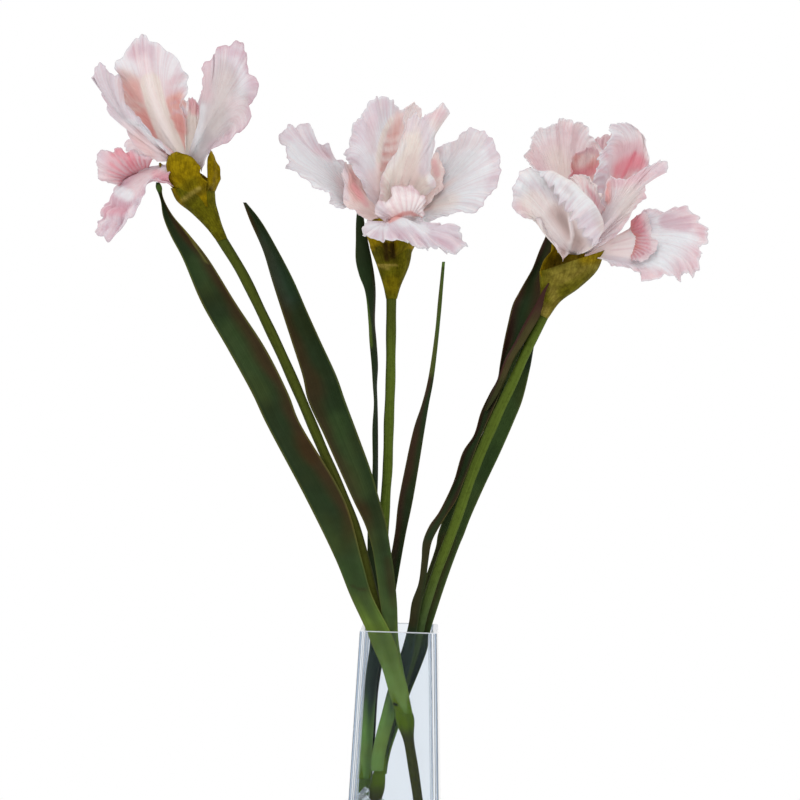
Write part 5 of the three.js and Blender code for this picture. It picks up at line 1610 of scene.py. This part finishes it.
class IRISES_OT_spathes(bpy.types.Operator):
    """Builds the papery spathes: a funnel on the stem and the bracts round it"""

    bl_idname = "irises.spathes"
    bl_label = "Spathes"

    def execute(self, context):
        thickness = context.scene.iris_plants.bract
        material = spathe_material()
        for number, (name, plan) in enumerate(SPATHES.items()):
            rings, along, around = cup_shell(plan, thickness / MM)
            colours = brush(coated("spathe_green", rings), rings, plan["strokes"])
            faces = tube_faces(*rings.shape[:2], turned=True)
            cup = Shells()
            cup.add(rings, faces, tint=colours, across=around, along=along, number=number, full=0)
            cup.piece(f"spathe_{name}_cup", material, "spathes", [f"spathe_{name}"])

            left, left_row, right, right_row, _ = rows_of(plan["cup"])[3]
            heart = seen([(left + right) / 2, (left_row + right_row) / 2, plan["depth"]])
            bracts = Shells()
            for order, bract in enumerate(plan["bracts"]):
                u, v = grid(*BRACT_GRID)
                places = petal_surface({**BRACT, **bract}, plan["depth"], heart, 1, u, v)
                colours = blend(coated("spathe", places), "spathe_pale", 0.5 * ease(u, 0.85, 1))
                colours = brush(colours, places, plan["strokes"])
                values = {"across": v, "along": u, "number": number * 5 + order}
                bracts.add_sheet(places, tint=colours, full=1 - ease(u, 0.7, 1), **values)
            piece = bracts.piece(f"spathe_{name}_bracts", material, "spathes", [f"spathe_{name}"])
            thicken(piece, thickness, thin=0.45)
        return {"FINISHED"}


class IRISES_OT_blooms(bpy.types.Operator):
    """Builds the ruffled petals: standards, falls and crests of each bloom"""

    bl_idname = "irises.blooms"
    bl_label = "Blooms"

    def execute(self, context):
        material = petal_material()
        for name, plan in BLOOMS.items():
            depth = plan["depth"]
            core = seen([(column, row, depth + back) for column, row, back in rows_of(plan["core"])])
            heart = smooth(core, 0.9)
            six = plan["petals"]
            groups = {"standards": six[:3], "falls": six[3:], "crests": plan["crests"]}
            for group, petals in groups.items():
                u, v = grid(*(CREST_GRID if group == "crests" else PETAL_GRID))
                shells = Shells()
                for number, petal in enumerate(petals):
                    petal = {**PETAL, **petal}
                    places = petal_surface(petal, depth, heart, FULLNESS, u, v)
                    values = {"across": v, "along": u, "number": number + 10 * petal["waves"]}
                    values["full"] = 1 - 0.9 * ease(u, 0.55, 1)
                    shells.add_sheet(places, tint=petal_paint(petal, places, u, v), **values)
                piece = shells.piece(f"bloom_{name}_{group}", material, "petals", [f"bloom_{name}"])
                thicken(piece, context.scene.iris_plants.petal, thin=0.4)
        return {"FINISHED"}


class IRISES_OT_stage(bpy.types.Operator):
    """Sets up the pale floor, the soft light and the camera"""

    bl_idname = "irises.stage"
    bl_label = "Stage"

    def execute(self, context):
        stage = context.scene.iris_stage
        scene = context.scene
        mesh = bpy.data.meshes.new("floor")
        disc = bmesh.new()
        bmesh.ops.create_circle(disc, cap_ends=True, radius=stage.floor, segments=128)
        disc.to_mesh(mesh)
        disc.free()
        floor = bpy.data.objects.new("floor", mesh)
        floor.location.z = -0.5 * MM
        material, tree, shader = new_material("floor", Roughness=0.8, Specular_IOR_Level=0.1)
        pale = np.array(stage.floor_colour)
        grain = ramp(tree, speckle(tree, 30), (0.3, 0.97 * pale), (0.7, pale))
        tree.links.new(grain, shader.inputs["Base Color"])
        mesh.materials.append(material)
        scene.collection.objects.link(floor)

        world = bpy.data.worlds.new("studio")
        world.use_nodes = True
        sky = world.node_tree.nodes["Background"]
        sky.inputs["Color"].default_value = (1, 1, 1, 1)
        sky.inputs["Strength"].default_value = stage.surround
        scene.world = world
        for name, (place, size, share) in LIGHTS.items():
            light = bpy.data.lights.new(name, "AREA")
            light.shape = "DISK"
            light.size = size
            light.energy = stage.light * share
            lamp = bpy.data.objects.new(name, light)
            lamp.location = place
            lamp.rotation_euler = (LIGHT_AIM - Vector(place)).to_track_quat("-Z", "Y").to_euler()
            scene.collection.objects.link(lamp)

        lens = bpy.data.cameras.new("camera")
        lens.lens = LENS
        lens.sensor_width = 36
        lens.clip_start, lens.clip_end = 0.1, 20
        camera = bpy.data.objects.new("camera", lens)
        turn = Matrix.Rotation(CAMERA_TILT, 4, "X") @ Matrix.Rotation(CAMERA_ROLL, 4, "Z")
        camera.matrix_world = Matrix.Translation(Vector((EYE_X, -EYE_DISTANCE, EYE_Z)) * MM) @ turn
        scene.collection.objects.link(camera)
        scene.camera = camera
        scene.view_settings.view_transform = "Standard"
        return {"FINISHED"}


# Settings, panel and registering.


class IrisVaseSettings(bpy.types.PropertyGroup):
    """Sizes and colours of the vase and its crystals"""

    edge: FloatProperty(
        name="Edge", description="Radius of the rim's rounding", default=0.9 * MM, unit="LENGTH"
    )
    corner: FloatProperty(name="Corner", description="Radius of the corners", default=3 * MM, unit="LENGTH")
    glass: FloatVectorProperty(
        name="Glass", description="Colour of the glass", default=(0.86, 0.895, 0.93), subtype="COLOR"
    )
    crystal: FloatProperty(name="Crystal", description="Size of a crystal", default=11 * MM, unit="LENGTH")
    crystal_colour: FloatVectorProperty(
        name="Crystal colour",
        description="Colour of the crystals",
        default=(0.8, 0.92, 0.92),
        subtype="COLOR",
    )
    seed: IntProperty(name="Seed", description="Picks how the crystals fall", default=4)


class IrisPlantSettings(bpy.types.PropertyGroup):
    """Sizes of the stems, leaves and petals"""

    stem: FloatProperty(name="Stem", description="Diameter of a stem", default=8 * MM, unit="LENGTH")
    leaf: FloatProperty(name="Leaf", description="Thickness of a leaf", default=0.9 * MM, unit="LENGTH")
    petal: FloatProperty(name="Petal", description="Thickness of a petal", default=0.9 * MM, unit="LENGTH")
    bract: FloatProperty(name="Bract", description="Thickness of a bract", default=0.8 * MM, unit="LENGTH")


class IrisStageSettings(bpy.types.PropertyGroup):
    """Size and brightness of the stage"""

    floor: FloatProperty(name="Floor", description="Radius of the floor", default=0.45, unit="LENGTH")
    floor_colour: FloatVectorProperty(
        name="Floor colour", description="Colour of the floor", default=(0.85, 0.85, 0.85), subtype="COLOR"
    )
    surround: FloatProperty(name="Surround", description="Brightness of the white surround", default=1.0)
    light: FloatProperty(name="Light", description="Power of the key light", default=7.0, unit="POWER")


OPERATORS = (
    IRISES_OT_vase,
    IRISES_OT_crystals,
    IRISES_OT_stems,
    IRISES_OT_leaves,
    IRISES_OT_spathes,
    IRISES_OT_blooms,
    IRISES_OT_stage,
)
SETTINGS = {
    "iris_vase": IrisVaseSettings,
    "iris_plants": IrisPlantSettings,
    "iris_stage": IrisStageSettings,
}


class IRISES_PT_panel(bpy.types.Panel):
    """Lists the pieces and their settings"""

    bl_label = "Irises in a Vase"
    bl_idname = "IRISES_PT_panel"
    bl_space_type = "VIEW_3D"
    bl_region_type = "UI"
    bl_category = "Irises"

    def draw(self, context):
        for name, group in SETTINGS.items():
            box = self.layout.box()
            for key in group.__annotations__:
                box.prop(getattr(context.scene, name), key)
        for operator in OPERATORS:
            self.layout.operator(operator.bl_idname)


def register():
    for group in (*SETTINGS.values(), *OPERATORS, IRISES_PT_panel):
        bpy.utils.register_class(group)
    for name, group in SETTINGS.items():
        setattr(bpy.types.Scene, name, PointerProperty(type=group))


def unregister():
    for name in SETTINGS:
        delattr(bpy.types.Scene, name)
    for group in (IRISES_PT_panel, *reversed(OPERATORS), *SETTINGS.values()):
        bpy.utils.unregister_class(group)


def main():
    register()
    for operator in OPERATORS:
        group, name = operator.bl_idname.split(".")
        getattr(getattr(bpy.ops, group), name)()


if __name__ == "__main__":
    main()
